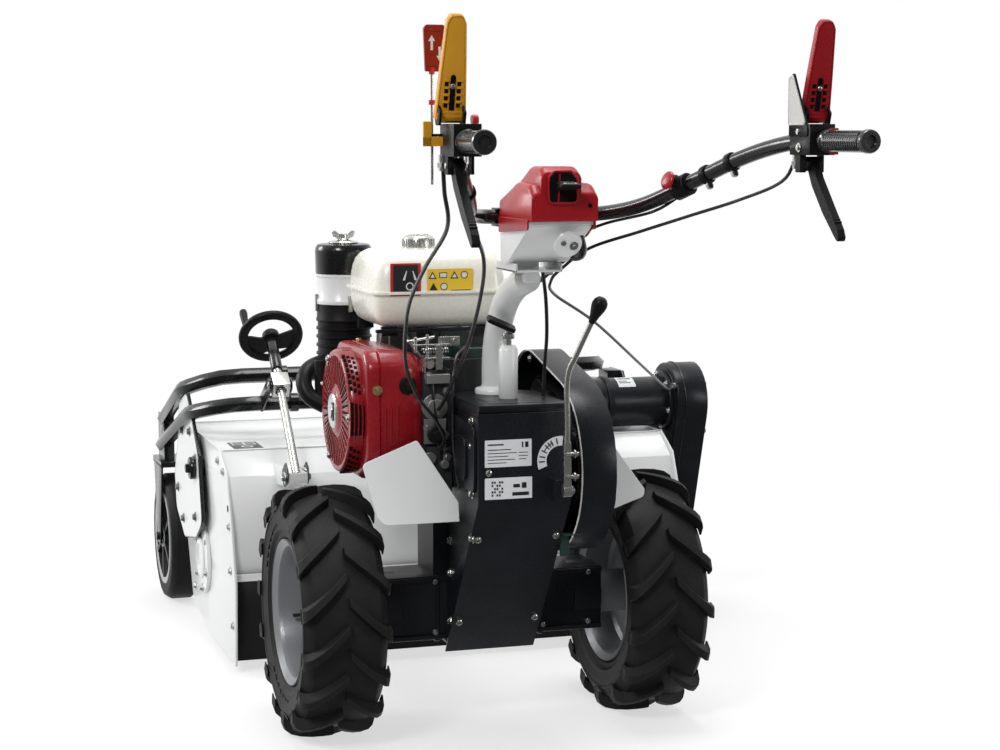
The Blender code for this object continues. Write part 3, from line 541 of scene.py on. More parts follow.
def studio():
    """A white backdrop whose light is dimmer from behind the machine, so that dark paint stays dark."""
    world = bpy.data.worlds.new("studio")
    world.use_nodes = True
    tree = world.node_tree
    place = add(tree, "TexCoord", {}).outputs["Generated"]
    toward = add(tree, "VectorMath", {0: place, 1: (0.0, 0.8, 0.3)}, operation="DOT_PRODUCT")
    level = add(tree, "MapRange", {
        "From Min": -0.3, "From Max": 0.5, "To Min": 0.1, "To Max": 1.0,
        "Value": toward.outputs["Value"]}, interpolation_type="SMOOTHSTEP")
    seen = add(tree, "LightPath", {}).outputs["Is Camera Ray"]
    strength = add(tree, "Math", {0: level.outputs["Result"], 1: seen}, operation="MAXIMUM")
    background = tree.nodes["Background"].inputs
    tree.links.new(strength.outputs["Value"], background["Strength"])
    background["Color"].default_value = (1, 1, 1, 1)
    return world


def camera_and_stage():
    scene = bpy.context.scene
    camera = bpy.data.objects.new("camera", bpy.data.cameras.new("camera"))
    down_angle, heading = 6.56, -17.55
    camera.data.lens, camera.data.sensor_width = 77.26, 36
    camera.location = Vector((-1.16533, -3.80086, 1.11212)) + AXLE
    camera.rotation_euler = (radians(90 - down_angle), 0, radians(heading))
    scene.collection.objects.link(camera)
    scene.camera = camera

    bm = bmesh.new()
    bmesh.ops.create_grid(bm, x_segments=2, y_segments=2, size=9)
    floor = bpy.data.objects.new("floor", mesh_of(bm))
    scene.collection.objects.link(floor)
    sheet = finish("pale_floor", (0.93, 0.93, 0.93), 0.6, vary=0.004, bump=0.0, grain=40, specular=0.1)
    fade_out(sheet)
    floor.data.materials.append(sheet)
    floor.visible_glossy = False
    scene.world = studio()

    lamps = [
        ("key", (-3.0, -3.4, 3.9), 150, 1.5),
        ("fill", (3.6, -3.2, 1.6), 34, 1.6),
        ("top", (0.3, 0.2, 4.4), 90, 2.2),
        ("rim", (-3.2, 2.6, 2.2), 60, 1.4),
    ]
    for name, place, power, size in lamps:
        lamp = bpy.data.lights.new(name, "AREA")
        lamp.energy, lamp.size, lamp.shape = power, size, "DISK"
        holder = bpy.data.objects.new(name, lamp)
        holder.location = Vector(place) + AXLE
        aim = Vector((0, 0.2, 0.5)) - Vector(place)
        holder.rotation_euler = aim.to_track_quat("-Z", "Y").to_euler()
        scene.collection.objects.link(holder)
    scene.view_settings.view_transform = "Standard"
    scene.view_settings.look = "None"


# Control cables. Their routes are the CAD's.

CABLES = {
    "cable_left_inner": (0.0033, "medium", [
        (-0.268, -0.779, 1.069), (-0.26, -0.755, 1.02), (-0.229, -0.7, 0.967), (-0.164, -0.55, 0.904),
        (-0.131, -0.42, 0.83), (-0.117, -0.3, 0.74), (-0.11, -0.2, 0.679), (-0.112, -0.13, 0.622),
        (-0.115, -0.1005, 0.605)]),
    "cable_left_outer": (0.0033, "medium", [
        (-0.2972, -0.779, 1.069), (-0.288, -0.755, 1.02), (-0.268, -0.7, 0.963), (-0.261, -0.55, 0.894),
        (-0.252, -0.42, 0.825), (-0.233, -0.32, 0.745), (-0.211, -0.26, 0.692), (-0.178, -0.21, 0.642),
        (-0.137, -0.17, 0.598), (-0.113, -0.14, 0.56), (-0.112, -0.108, 0.534)]),
    "cable_console": (0.0033, "medium", [
        (0.034, -0.255, 0.8655), (0.042, -0.25, 0.813), (0.054, -0.22, 0.749), (0.062, -0.185, 0.69),
        (0.064, -0.172, 0.634)]),
    "cable_mower_clutch": (0.0028, "medium", [
        (0.268, -0.779, 1.069), (0.26, -0.745, 1.03), (0.245, -0.62, 0.998), (0.2, -0.52, 0.969),
        (0.151, -0.42, 0.939), (0.098, -0.32, 0.907), (0.066, -0.262, 0.868), (0.06, -0.225, 0.845),
        (0.092, -0.15, 0.815), (0.217, -0.02, 0.75), (0.397, 0.2, 0.64), (0.533, 0.4, 0.565),
        (0.6, 0.54, 0.545), (0.626, 0.585, 0.545)]),
}


def cables():
    for name, (radius, stiffness, points) in CABLES.items():
        path = smooth_path(points, 0.008)
        mesh = sweep(path, radius, 12)
        mesh.transform(Matrix.Translation(AXLE))
        mesh.name = name
        mesh.materials.append(CABLE)
        shaded(mesh, 60)
        made = bpy.data.objects.new(name + "_sheath", mesh)
        bpy.context.scene.collection.objects.link(made)
        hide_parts(name)
        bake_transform(made)


SIDES = (("left", -1), ("right", 1))


# Drive wheels.


def tread_bar(centre, base_angle, half):
    """One lug: it runs from the middle of the tread to the shoulder and down the sidewall."""
    stations = [
        (0.0005, 0.2296, 0.211, 0.0075, 0.0105), (0.016, 0.2300, 0.211, 0.0080, 0.0115),
        (0.034, 0.2298, 0.210, 0.0085, 0.0120), (0.052, 0.2282, 0.208, 0.0090, 0.0125),
        (0.067, 0.2245, 0.203, 0.0098, 0.0135), (0.0765, 0.2170, 0.195, 0.0105, 0.0145),
        (0.0812, 0.2050, 0.188, 0.0105, 0.0150), (0.0790, 0.1935, 0.183, 0.0085, 0.0120),
    ]
    rings = []
    for across, top, base, half_top, half_base in stations:
        share = min(across, 0.0765) / 0.0765
        angle = base_angle + 0.3 * (share - 0.5) - 0.05 * (share - 0.5) ** 2
        ring = []
        for swing, reach in ((-half_base, base), (-half_top, top), (half_top, top), (half_base, base)):
            turn = angle + swing / reach
            ring.append(centre + Vector((half * across, -reach * sin(turn), reach * cos(turn))))
        rings.append(ring)
    return loft(rings)


def drive_wheels():
    lugs = 15
    tread = [(0.1345, 0.060), (0.139, 0.0645), (0.146, 0.0658), (0.150, 0.069), (0.1525, 0.0712),
             (0.157, 0.0705), (0.168, 0.0736), (0.180, 0.0748), (0.183, 0.0766), (0.1865, 0.0766),
             (0.189, 0.0742), (0.2, 0.069), (0.2075, 0.06), (0.2115, 0.042), (0.2138, 0.02)]
    carcass = tread + [(0.2145, 0)] + [(radius, -height) for radius, height in reversed(tread)]
    dish = [(0, 0.03), (0.029, 0.03), (0.033, 0.027), (0.035, 0.012), (0.046, 0.007), (0.075, 0.005),
            (0.092, -0.003), (0.104, -0.001), (0.112, 0.005), (0.1165, 0.02), (0.117, 0.05),
            (0.121, 0.058), (0.128, 0.0625), (0.1335, 0.0665), (0.1343, 0.064), (0.1335, 0.06),
            (0.1262, 0.052), (0.1235, 0.04), (0.1235, -0.04), (0.1262, -0.052), (0.1335, -0.06),
            (0.1343, -0.064), (0.1335, -0.0665), (0.128, -0.0625), (0.121, -0.058), (0.117, -0.045),
            (0.115, -0.012), (0.108, -0.006), (0.09, -0.009), (0.07, -0.003), (0.045, -0.002),
            (0.0405, -0.01), (0.04, -0.0844), (0, -0.0844)]
    for side, sign in SIDES:
        body = f"wheel_{side}"
        centre = pivot(f"wheel_{side}_spin")
        outward = centre + Vector((sign, 0, 0))
        bars = [
            tread_bar(centre, 2 * pi * (step + (0.5 if half > 0 else 0)) / lugs, half)
            for step in range(lugs) for half in (-1, 1)
        ]
        put(f"tyre_{side}_carcass", body, turned(carcass, centre, outward, 120), TYRE,
            replaces=[f"tyre_{side}"], angle=25)
        put(f"tyre_{side}_tread", body, bars, TYRE, bevel=0.0018, segments=2)
        marks = []
        for first in (20, 140, 260):
            for part in range(7):
                start = first + part * 7.5
                mark = plate(sector((0, 0), 0.161, 0.172, start, start + 4.2, 3), "X", 0, 0.0014)
                marks.append(placed(mark,
                                    Matrix.Translation(centre + Vector((sign * 0.0728 - 0.0007, 0, 0)))))
        put(f"tyre_{side}_marks", body, marks, TYRE, bevel=0.0004)
        put(f"rim_{side}_dish", body, turned(dish, centre, outward, 96), RIM,
            replaces=[f"wheel_rim_{side}"], angle=28)
        hardware = []
        for step in range(5):
            at = centre + Vector((sign * 0.0062, *round_at((0, 0), 0.06, 72 * step + 18)))
            hardware.append(bolt(at, (sign, 0, 0), 0.009, 0.008))
        hardware.append(turned([(0, 0.006), (0.013, 0.006), (0.02, 0.0015), (0.02, -0.001), (0, -0.001)],
                               centre + Vector((sign * 0.03, 0, 0)), outward + Vector((sign, 0, 0)), 32))
        put(f"rim_{side}_bolts", body, hardware, ZINC)
        valve = centre + Vector((sign * 0.004, 0.098, -0.03))
        put(f"rim_{side}_valve", body, rod(valve, valve + Vector((sign * 0.03, 0, 0)), 0.0042, 0.003),
            RUBBER)


# Gearbox tower, its labels and the gear lever.


def label(name, body, face_y, low, high, marks, sheet=None, inks=None):
    """A sticker facing rearward, with generic marks: (x, z, width, height) shares of its size."""
    width, height = high[0] - low[0], high[1] - low[1]
    outline = rounded(rectangle(low, high), 0.0018)
    put(name, body, plate(outline, "Y", face_y - 0.0006, face_y + 0.0002), sheet or PAPER)
    made = []
    for left, bottom, wide, tall in marks:
        corner = (low[0] + left * width, low[1] + bottom * height)
        far = (corner[0] + wide * width, corner[1] + tall * height)
        made.append(plate(rectangle(corner, far), "Y", face_y - 0.0009, face_y))
    if made:
        put(f"{name}_marks", body, made, inks or INK)


def tower():
    face_y = -0.262
    carried("transaxle_housing", BLACK_PAINT, 0.002)
    carried("rear_panel", BLACK_PAINT, 0.0012, 3)
    carried("top_plate", BLACK_PAINT, 0.0012)
    carried("implement_gearbox", BLACK_PAINT, 0.003)
    heads = []
    slope = Vector((0, -0.309, -0.21)).normalized()
    for height in (0.388, 0.213):
        along = (0.455 - height) / 0.309
        for x in (-0.073, 0.073):
            heads.append(screw_head((x, -0.262 + along * 0.21 - 0.0004, height - 0.0004), slope, 0.0068,
                                    0.005))
    heads.append(screw_head((-0.067, -0.2625, 0.5135), REAR, 0.006, 0.0045))
    for z in (0.6, 0.555, 0.47, 0.39):
        heads.append(bolt((-0.0822, -0.215, z), LEFT, 0.0062, 0.006))
    for z in (0.36, 0.3, 0.21):
        heads.append(bolt((-0.0822, -0.075, z), LEFT, 0.0062, 0.006))
        heads.append(bolt((0.0822, -0.075, z), RIGHT, 0.0062, 0.006))
    for sign in (-1, 1):
        for y, z in ((-0.0505, 0.28), (-0.0505, 0.185)):
            for x in (0.105, 0.195):
                heads.append(screw_head((sign * x, y, z), REAR, 0.0058, 0.0045))
    put("tower_bolts", "chassis", heads, ZINC)
    ribs = []
    for sign in (-1, 1):
        low, high = sorted((sign * 0.0815, sign * 0.222))
        ribs.append(box((low, -0.054, 0.172), (high, -0.049, 0.18)))
        ribs.append(box((low, -0.054, 0.28), (high, -0.049, 0.288)))
        ribs.append(rod((sign * 0.168, 0.0075, 0.23), (sign * 0.2215, 0.0075, 0.23), 0.062))
        ribs.append(plate(rounded([(-0.052, 0.166), (0.067, 0.166), (0.067, 0.294), (-0.052, 0.294)],
                                  0.008),
                          "X", sign * 0.1005 - 0.004, sign * 0.1005 + 0.004))
    ribs.append(box((-0.108, -0.049, 0.288), (-0.0815, 0.06, 0.4)))
    ribs.append(box((0.0815, -0.049, 0.288), (0.108, 0.06, 0.4)))
    put("axle_flanges", "chassis", ribs, BLACK_PAINT, bevel=0.0012)
    cover = [
        plate(rounded([(-0.24, 0.475), (-0.24, 0.59), (-0.11, 0.6), (-0.095, 0.56), (-0.11, 0.47)], 0.02),
              "X", -0.0875, -0.0815),
        plate(rounded([(-0.2, 0.49), (-0.2, 0.565), (-0.14, 0.57), (-0.14, 0.49)], 0.018), "X", -0.0925,
              -0.087),
    ]
    put("tower_side_cover", "chassis", cover, BLACK_PAINT, bevel=0.0015)
    lid = rounded(rectangle((-0.055, -0.236), (0.052, -0.15)), 0.006)
    put("top_plate_pad", "chassis", plate(lid, "Z", 0.6305, 0.6316), BLACK_PAINT, bevel=0.0004)
    label("data_plate", "chassis", face_y, (-0.074, 0.523), (0.012, 0.571), [
        (0.06, 0.80, 0.34, 0.05), (0.06, 0.62, 0.5, 0.03), (0.06, 0.5, 0.62, 0.025),
        (0.06, 0.38, 0.44, 0.025),
        (0.06, 0.26, 0.58, 0.025), (0.06, 0.14, 0.4, 0.025), (0.72, 0.5, 0.2, 0.025),
        (0.72, 0.38, 0.2, 0.025),
        (0.72, 0.26, 0.16, 0.025), (0.79, 0.7, 0.03, 0.2), (0.86, 0.7, 0.07, 0.2)])
    blocks = [(0.14 + 0.052 * (i % 5), 0.14 + 0.15 * (i // 5), 0.036, 0.1) for i in range(25) if i % 3 != 1]
    label("service_plate", "chassis", face_y, (-0.074, 0.466), (0.013, 0.504),
          blocks + [(0.58, 0.14, 0.35, 0.16), (0.6, 0.52, 0.14, 0.16), (0.78, 0.48, 0.1, 0.26)])
    gate = sector((0.066, 0.53), 0.0265, 0.0435, 84, 200, 22)
    put("gear_gate_label", "chassis", plate(gate, "Y", -0.2626, -0.2618), PAPER)
    ticks = [placed(box((-0.0011, -0.2631, 0.0295), (0.0011, -0.262, 0.0405)),
                    turn_at((0.066, 0, 0.53), radians(angle), "Y"))
             for angle in (-12, -28, -37, -46, -62, -78, -92)]
    ticks.append(plate(sector((0.066, 0.53), 0.0346, 0.036, 114, 150, 6), "Y", -0.2631, -0.262))
    put("gear_gate_marks", "chassis", ticks, INK)


def gear_lever():
    base = pivot("gear_select")
    path = [base + Vector((0.0005, 0, 0)), base + Vector((0.001, -0.002, 0.11)),
            base + Vector((0.001, -0.002, 0.2)),
            base + Vector((0.012, -0.02, 0.243)), base + Vector((0.0305, -0.0515, 0.307))]
    bar = curved(path, 0.01, 0.005, 14)
    strap = plate(rounded([(0.0575, 0.475), (0.0715, 0.475), (0.0705, 0.57), (0.0585, 0.57)], 0.005), "Y",
                  -0.3055, -0.301)
    put("gear_lever_bar", "gear_shift", [bar, strap, rod_x(0.0572, 0.0735, base[1:], 0.011)], ZINC,
        replaces=["gear_lever"], bevel=0.0006)
    knob = [(0, -0.003), (0.0055, -0.003), (0.0068, 0.002), (0.0088, 0.012), (0.0128, 0.026),
            (0.0138, 0.033),
            (0.0125, 0.040), (0.0085, 0.0455), (0, 0.0475)]
    foot = base + Vector((0.029, -0.049, 0.302))
    put("gear_lever_knob", "gear_shift", turned(knob, foot, foot + Vector((0.01, -0.018, 0.036)), 32),
        BLACK_PLASTIC, angle=60)
    clips = [bolt(base + Vector((0.0095, 0, 0)), RIGHT, 0.006, 0.005)]
    for z in (0.026, 0.066):
        clips.append(rod(base + Vector((-0.004, -0.008, z)), base + Vector((0.02, -0.008, z)), 0.0035,
                         sides=14))
        clips.append(bolt(base + Vector((0.012, -0.008, z)), RIGHT, 0.0052, 0.0045))
    put("gear_lever_pins", "gear_shift", clips, ZINC)


def mudguards():
    lean = Matrix.Rotation(radians(-13), 4, "X")
    place = Matrix.Translation((0, -0.155, 0.41)) @ lean @ Matrix.Translation((0, 0, -0.41))
    plans = {
        "left": ([(-0.262, 0.521), (-0.158, 0.56), (-0.0885, 0.445), (-0.0885, 0.41), (-0.228, 0.41),
                  (-0.24, 0.425)], [0.012, 0.006, 0.006, 0.002, 0.02, 0.012]),
        "right": ([(0.1708, 0.41), (0.2, 0.415), (0.268, 0.437), (0.271, 0.45), (0.212, 0.54),
                   (0.1708, 0.556)],
                  [0.002, 0.012, 0.01, 0.01, 0.02, 0.004]),
    }
    for side, (plan, radii) in plans.items():
        sheet = placed(plate(rounded(plan, radii, 6), "Y", -0.0015, 0.0015), place)
        put(f"mudguard_{side}_sheet", "chassis", sheet, WHITE_PAINT,
            replaces=[f"mudguard_{side}"], bevel=0.0011, segments=3)


# Engine.


def shroud():
    """The fan housing: outline as the CAD's, with a crowned rear corner and vents."""
    outline = [(-0.105, 0.525), (-0.1, 0.69), (-0.075, 0.716), (0.13, 0.716), (0.155, 0.69),
               (0.155, 0.56), (0.125, 0.5), (0.07, 0.475), (-0.03, 0.475), (-0.085, 0.497)]
    smooth = rounded(outline, 0.03, 6)
    rings = []
    for x, inset in ((-0.2446, 0.012), (-0.2418, 0.005), (-0.236, 0.001), (-0.222, 0.0), (-0.2195, 0.0035),
                     (-0.217, 0.0), (-0.19, 0.002), (-0.165, 0.006), (-0.148, 0.013), (-0.1395, 0.02)):
        ring = []
        for y, z in smooth:
            out = Vector((y - 0.03, z - 0.597))
            point = out * (1 - inset / max(out.length, 1e-6))
            ring.append((x, point.x + 0.03, point.y + 0.597))
        rings.append(ring)
    put("fan_housing", "chassis", loft(rings), RED_PAINT, replaces=["blower_shroud"], angle=38)
    creases = [
        sweep([Vector((x, -0.1025 + lift, z)) for z in (0.545, 0.58, 0.615)], 0.0022, 10)
        for x, lift in ((-0.211, 0), (-0.2, 0.001), (-0.188, 0.0015))
    ]
    put("fan_housing_creases", "chassis", creases, RED_PAINT)
    put("engine_switch", "chassis", turned([(0, 0.012), (0.007, 0.012), (0.0075, 0.006), (0.015, 0.0055),
                                            (0.0165, 0.003), (0.0165, -0.004), (0, -0.004)],
                                           (-0.168, -0.096, 0.652), (-0.168, -1, 0.66), 32), BLACK_PLASTIC)
    put("fan_housing_screws", "chassis", [
        bolt((-0.2255, -0.102, 0.646), (-0.25, -1, 0.1), 0.0062, 0.005),
        bolt((-0.16, -0.085, 0.522), (-0.1, -1, -0.3), 0.0055, 0.0045),
        bolt((-0.2, 0.14, 0.712), (0, 0.1, 1), 0.0055, 0.0045)], BRASS_ZINC)


def recoil():
    centre = (0.03, 0.595)
    start = Vector((-0.2444, *centre))
    shell = [(0.0, 0.0325), (0.034, 0.0325), (0.041, 0.0305), (0.046, 0.0265), (0.1, 0.0265),
             (0.107, 0.0285),
             (0.111, 0.027), (0.1145, 0.021), (0.116, 0.012), (0.116, -0.004), (0.0, -0.004)]
    put("recoil_housing", "chassis", turned(shell, start, start - Vector(RIGHT), 96), RED_PAINT,
        replaces=["recoil_cover"], angle=40)
    slots, slats = [], []
    for step in range(40):
        turn = turn_at((0, *centre), 2 * pi * step / 40, "X")
        lean = Matrix.Rotation(radians(14), 4, "X")
        reach = 0.101 if step % 10 else 0.094
        slots.append(placed(box((-0.2712, -0.0021, 0.052), (-0.2705, 0.0021, reach)), turn @ lean))
        slats.append(placed(box((-0.2725, -0.0011, 0.05), (-0.27, 0.0011, 0.103)),
                            turn @ Matrix.Rotation(pi / 40, 4, "X") @ lean))
    # The vents are thin near-black plates: painted shade inside the slots.
    put("recoil_vents", "chassis", slots, DARK)
    put("recoil_slats", "chassis", slats, RED_PAINT, bevel=0.0005)
    rim_slots, ribs = [], []
    for row, x in enumerate((-0.2705, -0.2628, -0.2552, -0.2475)):
        rim_slots.append(plate(sector(centre, 0.1125, 0.1163, 166 + row, 196, 10), "X", x, x + 0.0046))
        ribs.append(plate(sector(centre, 0.1125, 0.1186, 164, 198, 10), "X", x - 0.0022, x - 0.0004))
    for row, x in enumerate((-0.27, -0.2625, -0.255)):
        for step in range(7):
            for begin, pitch in ((112, 6.5), (208, 8)):
                first = begin + step * pitch + row * 2.2
                slot = sector(centre, 0.1125, 0.1163, first, first + 3.6, 2)
                rim_slots.append(plate(slot, "X", x, x + 0.0056))
    # Painted shade in the rim slots.
    put("recoil_rim_vents", "chassis", rim_slots, DARK)
    put("recoil_rim_ribs", "chassis", ribs, RED_PAINT, bevel=0.0004)
    hub = [(0, 0.006), (0.012, 0.006), (0.014, 0.0025), (0.03, 0.0025), (0.0325, 0.0005), (0.0325, -0.001),
           (0, -0.001)]
    face = Vector((-0.2768, *centre))
    put("recoil_hub", "chassis", turned(hub, face, face - Vector(RIGHT), 48), MACHINED)
    put("recoil_hub_mark", "chassis", plate(rounded(rectangle((0.012, 0.578), (0.026, 0.612)), 0.003), "X",
                                            -0.2805, -0.279), INK)
    screws = [bolt((-0.2725, *round_at(centre, 0.105, angle)), LEFT, 0.005, 0.004)
              for angle in (60, 180, 300)]
    put("recoil_screws", "chassis", screws, ZINC)
    home = pivot_of_handle()
    grip = curved([home + Vector((0, 0, -0.046)), home + Vector((0, 0.006, -0.02)),
                              home + Vector((0, 0.0075, 0.01)), home + Vector((0, 0.012, 0.042))], 0.008,
                 0.0115, 20)
    put("starter_grip", "starter_pull", grip, BLACK_PLASTIC, replaces=["recoil_handle"],
        bevel=0.002)
    put("starter_rope", "starter_pull", rod((-0.266, 0.148, 0.63), (-0.266, 0.176, 0.63), 0.0035), CREAM,
        "")


def pivot_of_handle():
    low, high = node_box("recoil_handle")
    return Vector(((low.x + high.x) / 2, 0.17, 0.63))


def crankcase():
    carried("crankcase", DARK_CAST, 0.003)
    carried("engine_mount", GREY_STEEL, 0.0012)
    carried("muffler", MUFFLER, 0.006)
    fins = []
    for step in range(9):
        lift = Matrix.Translation((0, 0.02 + step * 0.0112 * cos(radians(25)),
                                   step * 0.0112 * sin(radians(25))))
        fin = box((-0.128, 0.148, 0.548), (0.016, 0.1515, 0.69), Matrix.Rotation(radians(25), 4, "X"))
        fins.append(placed(fin, lift))
    put("cylinder_fins", "chassis", fins, CAST, bevel=0.0008)
    details = [
        rod((-0.118, -0.1, 0.612), (-0.118, -0.088, 0.612), 0.024),
        rod((-0.118, -0.108, 0.612), (-0.118, -0.098, 0.612), 0.015),
        box((-0.139, -0.104, 0.545), (-0.098, -0.096, 0.59)),
        box((-0.136, -0.11, 0.655), (-0.092, -0.094, 0.672)),
        rod((-0.13, -0.1, 0.52), (-0.13, -0.112, 0.52), 0.011),
        rod((-0.103, -0.1, 0.508), (-0.103, -0.114, 0.508), 0.008),
        rod((-0.128, -0.1, 0.69), (-0.1, -0.06, 0.69), 0.009),
    ]
    put("crankcase_bosses", "chassis", details, CAST, bevel=0.0012)
    nuts = [bolt(at, REAR, 0.0058, 0.005) for at in
            ((-0.132, -0.1, 0.575), (-0.1, -0.1, 0.56), (-0.095, -0.099, 0.64), (-0.13, -0.099, 0.668),
             (-0.1, -0.1, 0.535))]
    nuts += [bolt((x, -0.1052, 0.52), REAR, 0.0058, 0.005) for x in (-0.126, -0.097)]
    put("crankcase_nuts", "chassis", nuts, ZINC)
    bracket = [
        box((-0.14, -0.104, 0.699), (-0.09, -0.06, 0.702)),
        box((-0.14, -0.107, 0.675), (-0.137, -0.06, 0.702)),
        box((-0.118, -0.108, 0.68), (-0.106, -0.104, 0.725)),
        box((-0.155, -0.09, 0.722), (-0.085, -0.083, 0.725)),
        rod((-0.15, -0.086, 0.71), (-0.15, -0.086, 0.738), 0.003),
        rod((-0.128, -0.086, 0.7), (-0.128, -0.086, 0.742), 0.0026),
        rod((-0.165, -0.07, 0.728), (-0.11, -0.07, 0.736), 0.0022),
        rod((-0.095, -0.09, 0.72), (-0.085, -0.02, 0.727), 0.0022),
        box((-0.1, -0.062, 0.718), (-0.06, -0.058, 0.735)),
        rod((-0.07, -0.07, 0.727), (-0.07, -0.05, 0.727), 0.006),
    ]
    put("governor_bracket", "chassis", bracket, ZINC, bevel=0.0006)
    coil = [Vector((-0.14 + t * 0.05, -0.094 + 0.0042 * cos(t * 2 * pi * 11),
                    0.714 + 0.0042 * sin(t * 2 * pi * 11)))
            for t in [i / 160 for i in range(161)]]
    put("governor_spring", "chassis", sweep(coil, 0.0008, 6), ZINC)
    carb = [
        box((-0.135, 0.16, 0.69), (-0.085, 0.215, 0.735)),
        rod((-0.11, 0.187, 0.665), (-0.11, 0.187, 0.692), 0.02),
        rod_x(-0.15, -0.13, (0.187, 0.71), 0.017),
    ]
    put("carburettor", "chassis", carb, CAST, bevel=0.003)
    block = [box((-0.075, 0.02, 0.69), (-0.02, 0.09, 0.742)), box((-0.05, -0.03, 0.688),
                                                                  (0.016, 0.02, 0.71))]
    put("cylinder_shield", "chassis", block, GREEN_STEEL, bevel=0.003)
    hoses = [
        curved([(-0.145, 0.0, 0.735), (-0.15, -0.04, 0.728), (-0.138, -0.075, 0.7), (-0.125, -0.1, 0.66),
                           (-0.12, -0.106, 0.6), (-0.112, -0.11, 0.52)], 0.01, 0.0034, 10),
        curved([(-0.05, -0.06, 0.715), (-0.075, -0.09, 0.7), (-0.088, -0.112, 0.66), (-0.09, -0.118, 0.6),
                           (-0.092, -0.13, 0.54), (-0.088, -0.15, 0.47)], 0.01, 0.003, 10),
    ]
    put("engine_wires", "chassis", hoses, CABLE, angle=60)
    plug = [(0, 0.02), (0.008, 0.02), (0.0085, 0.008), (0.0155, 0.007), (0.0165, -0.002), (0, -0.002)]
    put("oil_plug", "chassis", turned(plug, (-0.118, -0.108, 0.5625), (-0.118, -1, 0.56), 24),
        BLACK_PLASTIC)


def rounded_level(low, high, radius, z, steps=6):
    outline = rounded(rectangle(low, high), radius, steps)
    return [(x, y, z) for x, y in outline]


def fuel_tank():
    low, high = (-0.2, 0.0), (0.055, 0.235)
    levels = [(0.7445, 0.034, 0.02), (0.7465, 0.024, 0.024), (0.7535, 0.013, 0.03), (0.766, 0.006, 0.034),
              (0.785, 0.002, 0.036), (0.807, 0.0, 0.036), (0.8085, 0.0, 0.036), (0.8088, -0.006, 0.04),
              (0.8112, -0.0065, 0.04), (0.8138, -0.006, 0.04), (0.8142, 0.0, 0.036), (0.835, 0.0015, 0.036),
              (0.852, 0.004, 0.036), (0.866, 0.0085, 0.036), (0.877, 0.017, 0.034), (0.884, 0.03, 0.03),
              (0.8878, 0.05, 0.028), (0.8892, 0.08, 0.02)]
    rings = [rounded_level((low[0] + inset, low[1] + inset), (high[0] - inset, high[1] - inset), radius, z)
             for z, inset, radius in levels]
    put("tank_shell", "chassis", loft(rings), CREAM, replaces=["fuel_tank"], angle=50)
    neck = turned([(0.021, 0.0005), (0.0265, 0.0), (0.0265, -0.01), (0.0, -0.01), (0.0, 0.0115),
                   (0.021, 0.0115)],
                  (-0.09, 0.11, 0.8885), (-0.09, 0.11, 1), 48)
    put("tank_neck", "chassis", neck, MACHINED)
    feet = [box((x, y, 0.7305), (x + 0.03, y + 0.012, 0.748)) for x in (-0.185, 0.015) for y in (0.02, 0.2)]
    feet.append(box((-0.2, 0.004, 0.7385), (0.05, 0.012, 0.7445)))
    put("tank_feet", "chassis", feet, BLACK_PAINT, bevel=0.001)
    centre = pivot("cap_turn")
    profile = [(0, 0.0232), (0.02, 0.0232), (0.0245, 0.0225), (0.0285, 0.0195), (0.03, 0.0165),
               (0.03, 0.0012),
               (0.029, 0.0), (0.0218, 0), (0.0218, 0.0125), (0, 0.0125)]
    cap = [turned(profile, centre, centre + Vector(UP), 64)]
    for step in range(30):
        turn = turn_at(centre, 2 * pi * step / 30, "Z")
        cap.append(placed(box((0.029, -0.0012, 0.002), (0.0311, 0.0012, 0.0175)), turn))
    for angle in (0, 90):
        turn = turn_at(centre, radians(angle), "Z")
        cap.append(placed(box((-0.019, -0.003, 0.0225), (0.019, 0.003, 0.0248)), turn))
    put("tank_cap", "filler_cap", cap, MACHINED, replaces=["fuel_cap"], bevel=0.0005)
    face = -0.0003

    def mark(outline, proud):
        """A print that stands a little proud of the tank's rear face."""
        return plate(outline, "Y", face - proud, face)

    label("tank_switch_sticker", "chassis", face, (-0.174, 0.806), (-0.116, 0.866), [], LABEL_RED)
    panel = rounded(rectangle((-0.1685, 0.8095), (-0.1215, 0.8625)), 0.002)
    put("tank_switch_panel", "chassis", mark(panel, 0.0012), INK)
    signs = [mark(sector((-0.1375, 0.8235), 0.0055, 0.0075, 0, 350, 20), 0.0018),
             mark([(-0.151, 0.835), (-0.144, 0.852), (-0.1425, 0.852), (-0.1465, 0.835)], 0.0018),
             mark([(-0.124, 0.835), (-0.1285, 0.835), (-0.1325, 0.852), (-0.131, 0.852)], 0.0018)]
    put("tank_switch_signs", "chassis", signs, PAPER)
    label("tank_warning_sticker", "chassis", face, (-0.104, 0.810), (-0.016, 0.8545), [], LABEL_YELLOW)
    shapes, pale = [], []
    for x in (-0.094, -0.052):
        shapes.append(mark([(x - 0.008, 0.8365), (x + 0.008, 0.8365), (x, 0.85)], 0.0011))
        pale.append(mark([(x - 0.0045, 0.8385), (x + 0.0045, 0.8385), (x, 0.846)], 0.0015))
    shapes.append(mark([(-0.1, 0.8155), (-0.084, 0.8155), (-0.092, 0.829)], 0.0011))
    shapes.append(mark(rectangle((-0.081, 0.838), (-0.066, 0.848)), 0.0011))
    pale.append(mark(rectangle((-0.0795, 0.8395), (-0.0675, 0.8465)), 0.0015))
    for centre_x, z in ((-0.033, 0.843), (-0.072, 0.822)):
        shapes.append(mark(sector((centre_x, z), 0.0055, 0.007, 0, 350, 18), 0.0011))
        pale.append(mark(arc((centre_x, z), 0.0055, 0, 340, 18), 0.0009))
    shapes.append(mark(rectangle((-0.058, 0.814), (-0.02, 0.8155)), 0.0011))
    put("tank_warning_shapes", "chassis", shapes, INK)
    put("tank_warning_fills", "chassis", pale, PAPER)


